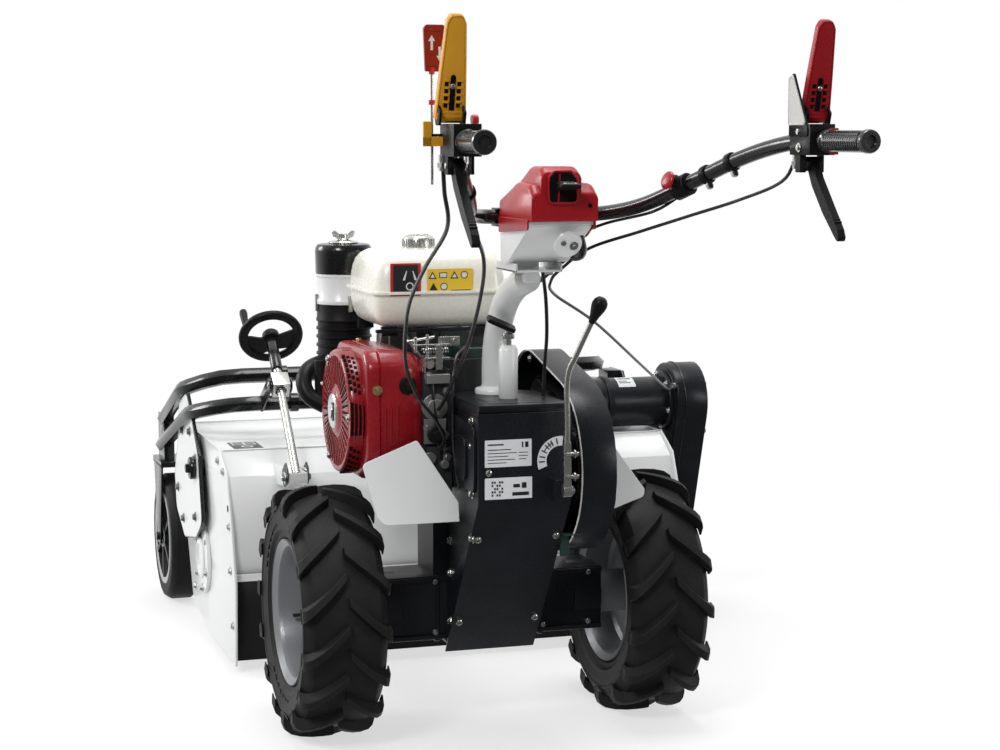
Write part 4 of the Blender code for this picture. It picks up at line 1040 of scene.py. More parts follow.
def air_cleaner():
    x, y = -0.19, 0.301
    base = Vector((x, y, 0.645))
    up = base + Vector(UP)
    body = [(0, 0), (0.05, 0), (0.053, 0.003), (0.053, 0.012)]
    for step in range(5):
        z = 0.016 + step * 0.0165
        body += [(0.0515, z), (0.0515, z + 0.009), (0.0545, z + 0.0105), (0.0545, z + 0.0145)]
    body += [(0.053, 0.1), (0.053, 0.129), (0, 0.129)]
    hose = curved([(-0.192, 0.292, 0.69), (-0.165, 0.278, 0.68), (-0.14, 0.268, 0.664),
                   (-0.127, 0.262, 0.657)],
                             0.008, 0.0205, 24)
    clips = [box((x - 0.004, y - 0.0575, 0.757), (x + 0.004, y - 0.05, 0.79)),
             box((x - 0.0575, y - 0.004, 0.757), (x - 0.05, y + 0.004, 0.79))]
    put("filter_base", "chassis", [turned(body, base, up, 64), hose], BLACK_PLASTIC,
        replaces=["air_cleaner"], angle=40)
    put("filter_clips", "chassis", clips, ZINC, bevel=0.001)
    bowl = [(0, 0.126), (0.0545, 0.126), (0.055, 0.129), (0.055, 0.134), (0.0522, 0.138), (0.0522, 0.178),
            (0.0545, 0.18), (0.0545, 0.1846), (0, 0.1846)]
    put("filter_bowl", "chassis", turned(bowl, base, up, 64), WHITE_PAINT, "", angle=40)
    cap = [(0, 0.185), (0.0535, 0.185), (0.0548, 0.187), (0.0555, 0.222), (0.0558, 0.228), (0.0545, 0.236),
           (0.0505, 0.2415), (0.044, 0.243), (0, 0.243)]
    put("filter_cap", "chassis", turned(cap, base, up, 64), BLACK_SATIN, "", replaces=["air_cleaner_cap"],
        angle=40)
    at = pivot("filter_nut_turn")
    nut = [turned([(0, 0), (0.029, 0), (0.03, 0.002), (0.027, 0.0045), (0.012, 0.0065), (0.0085, 0.009),
                   (0.0075, 0.019), (0, 0.0195)], at, at + Vector(UP), 40)]
    for sign in (-1, 1):
        wing = rounded([(sign * 0.005, 0.005), (sign * 0.02, 0.013), (sign * 0.0235, 0.0235),
                        (sign * 0.017, 0.0255),
                        (sign * 0.005, 0.016)], 0.003)
        nut.append(placed(plate(wing, "Y", -0.0018, 0.0018), Matrix.Translation(at)))
    put("filter_wing_nut", "filter_nut", nut, ZINC, replaces=["wing_nut"], bevel=0.0008)
    pipe = curved([(-0.215, 0.27, 0.655), (-0.25, 0.235, 0.662), (-0.284, 0.205, 0.652),
                   (-0.297, 0.185, 0.628),
                              (-0.288, 0.172, 0.604), (-0.262, 0.16, 0.588)], 0.008, 0.0155, 22)
    put("filter_intake", "chassis", pipe, BLACK_PLASTIC, angle=60)


# Belt drive from the engine to the gearbox.


def belt_drive():
    carried("belt_cover", BLACK_PAINT, 0.0015, 3)
    carried("drive_belt", RUBBER, 0.0012)
    for node in ("engine_pulley", "gearbox_pulley", "case_pulley"):
        carried(node, STEEL, 0.0008)
    carried("rotor_belt", RUBBER, 0.0012)
    shaft, crank = pivot("gearbox_shaft_spin"), pivot("crankshaft_spin")
    one, two = (shaft.y, shaft.z), (crank.y, crank.z)
    inner = hull(one, 0.128, two, 0.068, 30)
    layers = [plate(inner, "X", 0.169, 0.1735), plate(hull(one, 0.118, two, 0.058, 30), "X", 0.1732,
                                                      0.1745)]
    put("belt_cover_face", "chassis", layers, BLACK_PAINT, bevel=0.0012)
    # Painted highlight: a pale line round the left face edge of the black belt cover, for the light caught
    # on its rim.
    rim = [Vector((0.1045, y, z)) for y, z in hull(one, 0.1592, two, 0.0992, 30)]
    put("belt_cover_edge_highlight", "chassis", sweep(rim, 0.0016, 8, closed=True), PALE_GUARD, angle=60)
    bolts = []
    for angle, reach, centre in ((250, 0.146, one), (290, 0.146, one), (95, 0.086, two), (330, 0.086, two),
                                 (150, 0.14, one)):
        spot = round_at(centre, reach, angle)
        bolts.append(bolt((0.1702, *spot), RIGHT, 0.0062, 0.005))
        bolts.append(bolt((0.1035, *spot), LEFT, 0.0052, 0.004))
    put("belt_cover_bolts", "chassis", bolts, ZINC)
    foot = [box((0.086, -0.205, 0.345), (0.104, -0.2, 0.39)), box((0.086, -0.225, 0.386),
                                                                  (0.12, -0.2, 0.39)),
            box((0.084, -0.23, 0.604), (0.094, -0.06, 0.6095)), box((0.09, -0.215, 0.555),
                                                                    (0.094, -0.075, 0.6095))]
    put("belt_cover_brackets", "chassis", foot, GREEN_STEEL, "black_paint", bevel=0.001)
    screws = [bolt((0.0945, y, z), RIGHT, 0.0062, 0.005) for y, z in ((-0.2, 0.588), (-0.15, 0.572),
                                                                      (-0.1, 0.588))]
    put("bracket_bolts", "chassis", screws, ZINC)
    groove = turned([(0.0, 0.0095), (0.047, 0.0095), (0.047, 0.0075), (0.0, 0.0075)], (0.135, *two),
                    (1, *two), 48)
    put("engine_pulley_flange", "crankshaft", groove, STEEL)


# Steering column, lock pin and console.


def column():
    path = [(0, -0.083, 0.6345), (0, -0.086, 0.7), (0, -0.105, 0.75), (0, -0.15, 0.802), (0, -0.205, 0.833),
            (0, -0.275, 0.853)]
    bend = smooth_path(path, 0.008)
    tube = sweep(bend, 0.0238, 36)
    foot = turned([(0, 0), (0.0358, 0), (0.0358, 0.007), (0.034, 0.0092), (0.027, 0.0098), (0.0245, 0.014),
                   (0, 0.014)],
                  (0, -0.083, 0.6315), (0, -0.083, 1), 56)
    put("column_tube", "steering", [tube, foot], WHITE_PAINT, replaces=["column"], angle=40)
    seat = [
        box((-0.042, -0.338, 0.868), (0.042, -0.2275, 0.872)),
        box((-0.042, -0.338, 0.868), (-0.0385, -0.2275, 0.8835)),
        box((0.0385, -0.338, 0.868), (0.042, -0.2275, 0.8835)),
        box((-0.03, -0.2485, 0.87), (0.03, -0.2425, 0.975)),
        box((-0.012, -0.3, 0.848), (0.012, -0.2275, 0.869)),
    ]
    put("console_seat", "steering", seat, WHITE_PAINT, bevel=0.0012)
    bolts = [bolt((x, -0.3, 0.8678), (0, -0.25, -1), 0.0078, 0.0065) for x in (-0.024, 0.03)]
    put("console_seat_bolts", "steering", bolts, ZINC)
    lock_at = (0, -0.165)
    sleeve = turned([(0.0078, 0.0), (0.0165, 0.0), (0.0172, 0.002), (0.0172, 0.088), (0.0158, 0.0905),
                     (0.0125, 0.0955),
                     (0.0078, 0.0955)], (*lock_at, 0.6315), (*lock_at, 1), 40)
    put("lock_sleeve", "steering", sleeve, WHITE_PAINT, angle=40)
    gusset = plate(rounded([(-0.112, 0.65), (-0.15, 0.65), (-0.15, 0.715), (-0.118, 0.745)], 0.003), "X",
                   -0.003, 0.003)
    put("lock_gusset", "steering", gusset, WHITE_PAINT, bevel=0.001)
    pin = rod((*lock_at, 0.6172), (*lock_at, 0.752), 0.0062, sides=24)
    collar = turned([(0, 0.0), (0.0105, 0.0), (0.0115, 0.0018), (0.0115, 0.008), (0.0095, 0.0105),
                     (0, 0.0105)],
                    (*lock_at, 0.7385), (*lock_at, 1), 28)
    put("lock_pin", "lock", [pin, collar], ZINC, replaces=["lock_plunger"], bevel=0.0005)
    tilt = turn_at((-0.015, -0.1725, 0.7655), radians(24), "Y") @ Matrix.Rotation(radians(22), 4, "X")
    tab = rounded([(-0.029, -0.0115), (0.0275, -0.0115), (0.0275, 0.0115), (-0.029, 0.0115)], 0.0075, 5)
    put("lock_tab", "lock", placed(plate(tab, "Z", -0.0042, 0.0042), tilt), BLACK_PLASTIC,
        bevel=0.0022, segments=3)


def console_body(outline, radii, low, high, crown):
    """A moulded shell: a (y, z) outline run along X, with its top drawn in at both ends."""
    outline = rounded(outline, radii, 6)
    floor = min(z for y, z in outline)
    roof = max(z for y, z in outline)
    rings = []
    steps = [(0, 1.0), (0.12, 0.62), (0.3, 0.33), (0.55, 0.12), (0.8, 0.03), (1, 0)]
    spots = [(low + crown * t, drop) for t, drop in steps] + [(high - crown * t, drop) for t,
                                                              drop in reversed(steps)]
    for x, drop in spots:
        rings.append([
            (x, y, z - drop * crown * max(0.0, (z - floor) / (roof - floor)) ** 1.5 * 0.9) for y,
            z in outline
        ])
    return loft(rings)


def console():
    tray = rounded([(-0.2765, 0.8836), (-0.315, 0.8836), (-0.432, 0.949), (-0.432, 0.958),
                    (-0.2765, 0.958)],
                   [0.003, 0.02, 0.006, 0.001, 0.001])
    put("console_tray", "steering", plate(tray, "X", -0.05, 0.06), WHITE_PAINT, replaces=["console_box"],
        bevel=0.003, segments=3)
    rims = [
        box((-0.053, -0.435, 0.9525), (0.063, -0.4315, 0.9588)),
        box((-0.053, -0.434, 0.9525), (-0.0498, -0.2785, 0.9588)),
        box((0.0598, -0.434, 0.9525), (0.063, -0.2785, 0.9588)),
    ]
    put("console_tray_lip", "steering", rims, WHITE_PAINT, bevel=0.001)
    shell = console_body(
        [(-0.2782, 0.9588), (-0.452, 0.9588), (-0.4535, 1.004), (-0.432, 1.0215), (-0.36, 1.0225),
         (-0.2782, 0.992)],
        [0.002, 0.006, 0.012, 0.02, 0.02, 0.008], -0.052, 0.064, 0.012)
    put("console_shell", "steering", shell, RED_PLASTIC, replaces=["console_cover"], angle=40)
    hood = console_body(
        [(-0.335, 1.0), (-0.4535, 1.0), (-0.4545, 1.04), (-0.438, 1.0495), (-0.385, 1.0495),
         (-0.335, 1.022)],
        [0.001, 0.004, 0.009, 0.014, 0.022, 0.01], -0.036, 0.034, 0.013)
    put("console_hood", "steering", hood, RED_PLASTIC, angle=40)
    put("console_shoulder", "steering", box((0.02, -0.45, 0.98), (0.034, -0.43, 1.0225)), RED_PLASTIC,
        bevel=0.005, segments=3)
    mouth = [(-0.024, 0.99), (0.026, 0.99), (0.026, 1.03), (0.016, 1.042), (-0.014, 1.042), (-0.024, 1.032)]
    # The mouth is a near-black plate: painted shade in the hood's recess.
    put("console_mouth", "steering", plate(rounded(mouth, 0.008), "Y", -0.4575, -0.45), DARK)
    fold = plate([(-0.009, 0.99), (-0.006, 0.99), (-0.0035, 1.038), (-0.0065, 1.038)], "Y", -0.4582, -0.457)
    put("console_mouth_fold", "steering", fold, RED_PAINT, "red_plastic")
    frame_ring = [(x, -0.4562, z) for x, z in rounded(mouth, 0.008)]
    put("console_mouth_rim", "steering", sweep(frame_ring, 0.0022, 10, closed=True), RED_PLASTIC,
        angle=60)
    skirts = []
    for x in (-0.0555, 0.0625):
        skirts.append(plate(rounded([(-0.282, 0.935), (-0.44, 0.945), (-0.44, 0.962), (-0.282, 0.962)],
                                    0.004), "X",
                            x, x + 0.003))
    put("console_skirts", "steering", skirts, RED_PLASTIC, bevel=0.001)
    put("console_screws", "steering", screw_head((0.05, -0.4532, 0.985), (0, -1, 0.1), 0.0036, 0.002), DARK)
    disc = turned([(0, 0), (0.024, 0), (0.0245, 0.002), (0.0225, 0.0045), (0, 0.0045)],
                  (0.018, -0.4315, 0.921),
                  (0.018, -1, 0.65), 32)
    put("console_disc", "steering", disc, WHITE_PAINT)
    pins = [bolt((0.018 + dx, -0.4315 - 0.003, 0.92 + dz), (0, -1, -0.47), 0.0052, 0.0045) for dx, dz in
            ((-0.009, 0.004), (0.01, -0.002))]
    put("console_disc_bolts", "steering", pins, ZINC)
    wedge = [(-0.335, 1.0065), (-0.335, 1.0235), (-0.38, 1.0285), (-0.43, 1.0275), (-0.486, 1.0215),
             (-0.488, 1.0155),
             (-0.44, 1.006), (-0.38, 1.0015)]
    put("throttle_blade", "throttle", plate(rounded(wedge, 0.003, 3), "X", -0.0128, 0.0228), BLACK_PLASTIC,
        replaces=["throttle_lever"], bevel=0.002, segments=3)
    top = [(-0.0075, -0.4835), (0.0175, -0.4835), (0.0175, -0.43), (-0.0075, -0.43)]
    pad = placed(plate([(x, y + 0.457) for x, y in rounded(top, 0.003)], "Z", 0, 0.0014),
                 turn_at((0, -0.457, 1.0242), radians(6.2), "X"))
    put("throttle_pad", "throttle", pad, MACHINED, bevel=0.0005)
    loom = [
        curved([(0.05, -0.4, 0.935), (0.066, -0.372, 0.905), (0.07, -0.33, 0.893), (0.062, -0.28, 0.895)],
               0.008, 0.0075, 16),
        curved([(0.062, -0.37, 0.953), (0.074, -0.33, 0.925), (0.074, -0.27, 0.905), (0.064, -0.235, 0.885),
                           (0.05, -0.228, 0.86)], 0.008, 0.005, 14),
        curved([(0.055, -0.36, 0.945), (0.068, -0.31, 0.9), (0.06, -0.25, 0.872), (0.04, -0.22, 0.845)],
               0.008, 0.0045, 14),
    ]
    put("console_loom", "steering", loom, CABLE, angle=60)
    trim = curved([(0.0665, -0.41, 0.945), (0.0735, -0.36, 0.93), (0.0745, -0.3, 0.925)], 0.01, 0.0032, 12)
    put("console_trim", "steering", trim, RED_PLASTIC, angle=60)


# Handlebar and its controls.

HALF_BAR = [(0.03, -0.262, 0.96), (0.082, -0.262, 0.961), (0.125, -0.33, 0.967), (0.153, -0.44, 0.984),
            (0.24, -0.655, 1.07), (0.2735, -0.76, 1.093), (0.293, -0.97, 1.093)]
# The straight that the cable clips and the stop switch sit on.
BAR_LOW, BAR_HIGH = Vector(HALF_BAR[3]), Vector(HALF_BAR[4])
BAR_LINE = (BAR_HIGH - BAR_LOW).normalized()


def filleted(points, radius, steps=8):
    """The polyline with each inner corner replaced by a bend."""
    points = [Vector(point) for point in points]
    made = [points[0]]
    for before, here, after in zip(points, points[1:], points[2:]):
        cut = min(radius, (before - here).length * 0.48, (after - here).length * 0.48)
        start, end = here + (before - here).normalized() * cut, here + (after - here).normalized() * cut
        made += [start * (1 - t) ** 2 + here * 2 * t * (1 - t) + end * t * t for t in
                 [k / steps for k in range(steps + 1)]]
    return made + [points[-1]]


def grip(side, sign):
    root, end = Vector(HALF_BAR[-2]), Vector(HALF_BAR[-1])
    root.x, end.x = root.x * sign, end.x * sign
    line = (end - root).normalized()
    start = end - line * 0.118
    profile = [(0.0126, 0.0), (0.0172, 0.0), (0.0178, 0.002), (0.0178, 0.007), (0.0158, 0.009)]
    for step in range(16):
        z = 0.0115 + step * 0.0061
        profile += [(0.0157, z), (0.0157, z + 0.0026), (0.0147, z + 0.0034), (0.0147, z + 0.0056)]
    profile += [(0.0162, 0.1105), (0.0178, 0.1125), (0.0178, 0.1205), (0.0165, 0.1235), (0.0098, 0.1235),
                (0.009, 0.1195),
                (0, 0.119), (0, 0.1182), (0.0126, 0.1182)]
    mesh = turned(profile, start, end, 40)
    rows = []
    for step in range(10):
        turn = aimed(start, end) @ Matrix.Rotation(2 * pi * step / 10, 4, "Z")
        rows.append(placed(box((0.0145, -0.0016, 0.014), (0.0163, 0.0016, 0.106)), turn))
    put(f"grip_{side}_sleeve", "steering", [mesh, *rows], GRIP, replaces=[f"grip_{side}"],
        bevel=0.0005, angle=40)


def handlebar():
    half = filleted(HALF_BAR, 0.06)
    whole = [Vector((-p.x, p.y, p.z)) for p in reversed(half)] + half
    put("handlebar_tube", "steering", sweep(whole, 0.0125, 28), BLACK_SATIN, replaces=["handlebar"],
        angle=60)
    clamps = []
    for sign in (-1, 1):
        clamps.append(box((sign * 0.045 - 0.011, -0.28, 0.944), (sign * 0.045 + 0.011, -0.2425, 0.9475)))
        clamps.append(box((sign * 0.045 - 0.011, -0.2775, 0.9725), (sign * 0.045 + 0.011, -0.2425, 0.9755)))
    put("handlebar_clamps", "steering", clamps, BLACK_PAINT, bevel=0.001)
    for side, sign in SIDES:
        grip(side, sign)
    clips, ties = [], []
    for sign, share in ((-1, 0.3), (-1, 0.72), (1, 0.62), (1, 0.86), (-1, 0.95)):
        at = BAR_LOW.lerp(BAR_HIGH, share)
        at.x *= sign
        way = Vector((BAR_LINE.x * sign, BAR_LINE.y, BAR_LINE.z))
        clips.append(turned([(0.0122, -0.006), (0.0152, -0.006), (0.0158, -0.004), (0.0158, 0.004),
                             (0.0152, 0.006),
                             (0.0122, 0.006)], at, at + way, 28))
        down = Vector((0, 0, -1))
        down = (down - way * down.dot(way)).normalized()
        clips.append(rod(at + down * 0.01, at + down * 0.023, 0.0055, sides=18))
        held = at + down * 0.018
        ties.append(rod(held - way * 0.002, held + way * 0.002, 0.0072, sides=18))
    put("cable_clips", "steering", clips, BLACK_PLASTIC, bevel=0.0006)
    put("cable_ties", "steering", ties, PALE_GUARD)


def paddle(side, material):
    """The upper lever: a moulded paddle, wide at its skirt and waisted below its rounded top."""
    centre = pivot(f"upper_{side}_press")
    place = turn_at(centre, radians(14), "X")
    face = rounded([(-0.0235, -0.006), (0.0235, -0.006), (0.0215, 0.03), (0.0192, 0.07), (0.0146, 0.138),
                    (0.009, 0.149), (-0.009, 0.149), (-0.0146, 0.138), (-0.0192, 0.07), (-0.0215, 0.03)],
                   [0.005, 0.005, 0.01, 0.01, 0.01, 0.008, 0.008, 0.01, 0.01, 0.01], 4)
    rings = []
    for depth, inset in ((-0.0066, 0.0045), (-0.0062, 0.002), (-0.0045, 0.0003), (0.0045, 0.0),
                         (0.0062, 0.0016), (0.0066, 0.004)):
        middle = Vector((0, 0.07))
        ring = []
        for p in face:
            out = Vector(p) - middle
            ring.append((p[0] * (1 - inset / 0.018), depth, middle.y + out.y * (1 - inset / 0.08)))
        rings.append(ring)
    hub = rod_x(-0.0155, 0.0155, (0, 0), 0.0104, 24)
    body = merged(loft(rings), hub)
    put(f"paddle_{side}", f"upper_{side}", placed(body, place), material, replaces=[f"upper_lever_{side}"],
        angle=38)
    ribs, gaps = [], []
    for step in range(4):
        z = 0.014 + step * 0.0105
        for flank in (-1, 1):
            low, high = sorted((flank * 0.0066, flank * 0.0122))
            gaps.append(box((low, -0.0072, z), (high, -0.0062, z + 0.0058)))
            low, high = sorted((flank * 0.006, flank * 0.014))
            ribs.append(box((low, -0.0082, z + 0.0062), (high, -0.0062, z + 0.0092)))
    gaps.append(box((-0.0038, -0.0074, 0.01), (0.0038, -0.0062, 0.058)))
    gaps.append(rod((0, -0.0074, 0.058), (0, -0.0062, 0.058), 0.0038, sides=20))
    rails = [plate(rounded([(-0.0225, -0.005), (0.0225, -0.005), (0.0205, 0.008), (-0.0205, 0.008)], 0.003),
                   "Y",
                   -0.0098, -0.006)]
    edge = [(x * 0.93, -0.0064, 0.07 + (z - 0.07) * 0.97) for x, z in face]
    rails.append(sweep(edge, 0.0012, 8, closed=True))
    # Painted shade in the gaps between the ribs.
    put(f"paddle_{side}_gaps", f"upper_{side}", placed(merged(*gaps), place), DARK)
    put(f"paddle_{side}_ribs", f"upper_{side}", placed(merged(*ribs, *rails), place), material,
        bevel=0.0006)
    put(f"paddle_{side}_screw", f"upper_{side}", placed(screw_head((0, -0.0074, 0.045), REAR, 0.0042,
                                                                   0.003), place), ZINC)
    caps = [rod_x(-0.0172, -0.015, (0, 0), 0.0062, 20), rod_x(0.015, 0.0172, (0, 0), 0.0062, 20)]
    put(f"paddle_{side}_pin", f"upper_{side}", placed(merged(*caps), place), ZINC)


def squeeze_lever(side):
    centre = pivot(f"lower_{side}_squeeze")
    curve = [(-0.792, 1.058), (-0.812, 1.025), (-0.85, 0.985), (-0.892, 0.95), (-0.902, 0.943),
             (-0.906, 0.95),
             (-0.9, 0.962), (-0.862, 1.002), (-0.828, 1.038), (-0.813, 1.063)]
    outline = rounded(curve, [0.004, 0.03, 0.03, 0.01, 0.004, 0.004, 0.006, 0.03, 0.03, 0.004], 5)
    rings = []
    middle = Vector((-0.85, 0.998))
    for x, inset in ((-0.0064, 0.02), (-0.0058, 0.008), (-0.004, 0.0), (0.004, 0.0), (0.0058, 0.008),
                     (0.0064, 0.02)):
        rings.append([(centre.x + x, y + (middle.x - y) * inset * 0.4,
                       z + (middle.y - z) * inset * 0.4) for y, z in outline])
    body = merged(loft(rings), rod_x(centre.x - 0.0115, centre.x + 0.0115, (centre.y, centre.z), 0.0112,
                                     28))
    put(f"squeeze_lever_{side}", f"lower_{side}", body, BLACK_PLASTIC,
        replaces=[f"lower_lever_{side}"], bevel=0.001, angle=38)
    ribs = []
    for step in range(14):
        t = step / 13
        y, z = -0.83 - 0.062 * t, 1.033 - 0.062 * t - 0.004 * sin(pi * t)
        ribs.append(rod_x(centre.x - 0.006, centre.x + 0.006, (y + 0.0015, z + 0.0015), 0.0017, 10))
    put(f"squeeze_ribs_{side}", f"lower_{side}", ribs, BLACK_PLASTIC)
    put(f"squeeze_pin_{side}", f"lower_{side}", [
        bolt((centre.x - 0.0115, centre.y, centre.z), LEFT, 0.005, 0.004),
        bolt((centre.x + 0.0115, centre.y, centre.z), RIGHT, 0.005, 0.004)], ZINC)


def perch(side, sign):
    carried(f"perch_{side}", BLACK_PLASTIC, 0.007, 4)
    x = sign * 0.279
    middle = x + sign * 0.0115
    ear = rounded([(-0.788, 1.116), (-0.806, 1.116), (-0.812, 1.135), (-0.8, 1.147), (-0.786, 1.145),
                   (-0.782, 1.13)], 0.005)
    saddle = [
        plate(ear, "X", middle - 0.0205, middle - 0.0165),
        plate(ear, "X", middle + 0.0165, middle + 0.0205),
        box((x - 0.0195, -0.81, 1.045), (x - 0.009, -0.792, 1.0725)),
        box((x + 0.0165, -0.81, 1.045), (x + 0.021, -0.792, 1.0725)),
    ]
    put(f"perch_{side}_ears", "steering", saddle, BLACK_PLASTIC, bevel=0.0012)
    ferrules = []
    starts = {"left": [(-0.268, -0.779), (-0.2972, -0.779)], "right": [(0.268, -0.779)]}[side]
    for fx, fy in starts:
        ferrules.append(rod((fx, fy, 1.074), (fx, fy, 1.05), 0.0062, sides=24))
        ferrules.append(rod((fx, fy, 1.062), (fx, fy, 1.055), 0.0085, sides=6))
    put(f"adjusters_{side}", "steering", ferrules, ZINC, bevel=0.0005)
    strap = [bolt((x - sign * 0.0215, -0.81, z), (-sign, 0, 0), 0.005, 0.004) for z in (1.083, 1.107)]
    put(f"perch_{side}_bolts", "steering", strap, ZINC)


def left_cluster():
    perch("left", -1)
    paddle("left", YELLOW)
    squeeze_lever("left")
    boot = []
    for step in range(5):
        z = 1.044 - step * 0.0075
        boot.append(turned([(0, 0), (0.0105 - step * 0.0009, 0), (0.0105 - step * 0.0009, 0.0042),
                            (0.0078, 0.0075), (0, 0.0075)],
                           (-0.268 + step * 0.0008, -0.777 + step * 0.0014, z),
                           (-0.2685 + step * 0.0008, -0.7785, z + 1), 24))
    put("clutch_boot", "steering", boot, RUBBER)
    bracket = [box((-0.329, -0.79, 1.086), (-0.3165, -0.785, 1.122)), box((-0.329, -0.79, 1.086),
                                                                          (-0.296, -0.786, 1.1))]
    put("sign_bracket", "steering", bracket, YELLOW, bevel=0.001)
    put("sign_knob", "steering", turned([(0, 0), (0.007, 0), (0.0082, 0.003), (0.0074, 0.009), (0, 0.011)],
                                        (-0.2585, -0.797, 1.124), (0, -0.797, 1.135), 24), LABEL_RED)
    x, y = -0.308, -0.76
    wire = rod((x, y, 1.03), (x, y, 1.198), 0.0021, sides=16)
    put("direction_wire", "direction", wire, ZINC, replaces=["direction_rod"])
    plan = rounded([(-0.3185, 1.194), (-0.2955, 1.194), (-0.2885, 1.2), (-0.287, 1.256), (-0.291, 1.262),
                    (-0.3165, 1.262),
                    (-0.321, 1.257)], [0.003, 0.002, 0.003, 0.003, 0.002, 0.003, 0.003], 4)
    sheet = plate(plan, "Y", y - 0.0035, y + 0.0035)
    put("direction_sign", "direction", sheet, RED_PAINT, "red_plastic", bevel=0.0012, segments=3)
    marks = [
        plate([(-0.314, 1.238), (-0.309, 1.2465), (-0.304, 1.238), (-0.3072, 1.238), (-0.3072, 1.225),
               (-0.3108, 1.225),
               (-0.3108, 1.238)], "Y", y - 0.0042, y - 0.003),
        plate([(-0.302, 1.217), (-0.297, 1.2085), (-0.292, 1.217), (-0.2952, 1.217), (-0.2952, 1.23),
               (-0.2988, 1.23),
               (-0.2988, 1.217)], "Y", y - 0.0042, y - 0.003),
    ]
    ridge = [box((-0.3165, y - 0.0045, z), (-0.2915, y - 0.003, top))
             for z, top in ((1.2015, 1.2035), (1.2525, 1.2545))]
    put("direction_arrows", "direction", marks, PAPER)
    put("direction_ridges", "direction", ridge, RED_PAINT, "red_plastic", bevel=0.0004)
    put("direction_clamp", "direction", [rod((x, y, 1.146), (x, y, 1.153), 0.0048, sides=20),
                                               rod((x, y, 1.19), (x, y, 1.2), 0.0042, sides=20)], LABEL_RED)


def right_cluster():
    perch("right", 1)
    paddle("right", RED_PLASTIC)
    squeeze_lever("right")
    guard = rounded([(-0.778, 1.118), (-0.778, 1.187), (-0.789, 1.1925), (-0.835, 1.118)],
                    [0.002, 0.006, 0.006, 0.004], 5)
    put("guard_plate", "steering", plate(guard, "X", 0.2538, 0.2556), PALE_GUARD, bevel=0.0008)
    rim = [Vector((0.2548, y, z)) for y, z in guard]
    put("guard_rim", "steering", sweep(rim, 0.0017, 10, closed=True), PALE_GUARD, angle=60)
    flaps = [box((0.289, -0.852, 1.108), (0.303, -0.838, 1.1125)), box((0.289, -0.852, 1.0725),
                                                                       (0.303, -0.838, 1.077))]
    put("latch_flaps", "steering", flaps, RED_PLASTIC, bevel=0.0012)
    seat = BAR_LOW + BAR_LINE * 0.095
    face = Vector((-0.7, -0.3, 0.3))
    face = (face - BAR_LINE * face.dot(BAR_LINE)).normalized()
    ring = turned([(0.0132, -0.0158), (0.0178, -0.0158), (0.0188, -0.0145), (0.0188, -0.0012),
                   (0.0182, -0.0006),
                   (0.0182, 0.0006), (0.0188, 0.0012), (0.0188, 0.0145), (0.0178, 0.0158),
                   (0.0132, 0.0158)],
                  seat, seat + BAR_LINE, 40)
    boss = turned([(0.0072, 0.012), (0.0138, 0.012), (0.0138, 0.021), (0.0128, 0.0228), (0.0072, 0.0232)],
                  seat, seat + face, 36)
    put("switch_ring", "steering", [ring, boss], BLACK_PLASTIC, replaces=["switch_body"], angle=40)
    foot = seat + face * 0.0305
    head = [(0, -0.0052), (0.0062, -0.0052), (0.0062, 0.0), (0.0142, 0.0006), (0.0155, 0.002),
            (0.0152, 0.004), (0.0128, 0.0062),
            (0.0085, 0.0073), (0, 0.0077)]
    put("stop_button_head", "stop", turned(head, foot, foot + face, 40), RED_PLASTIC,
        replaces=["stop_button"], angle=50)
    wire = curved([seat - face * 0.017, seat - face * 0.019 - BAR_LINE * 0.03,
                   BAR_LOW.lerp(BAR_HIGH, 0.08) - Vector((0, 0, 0.017)),
                              Vector((0.125, -0.33, 0.95)), Vector((0.08, -0.275, 0.925))], 0.01, 0.0026,
                              10)
    put("switch_wire", "steering", wire, CABLE, angle=60)


# Flail deck, rotor and its drive.


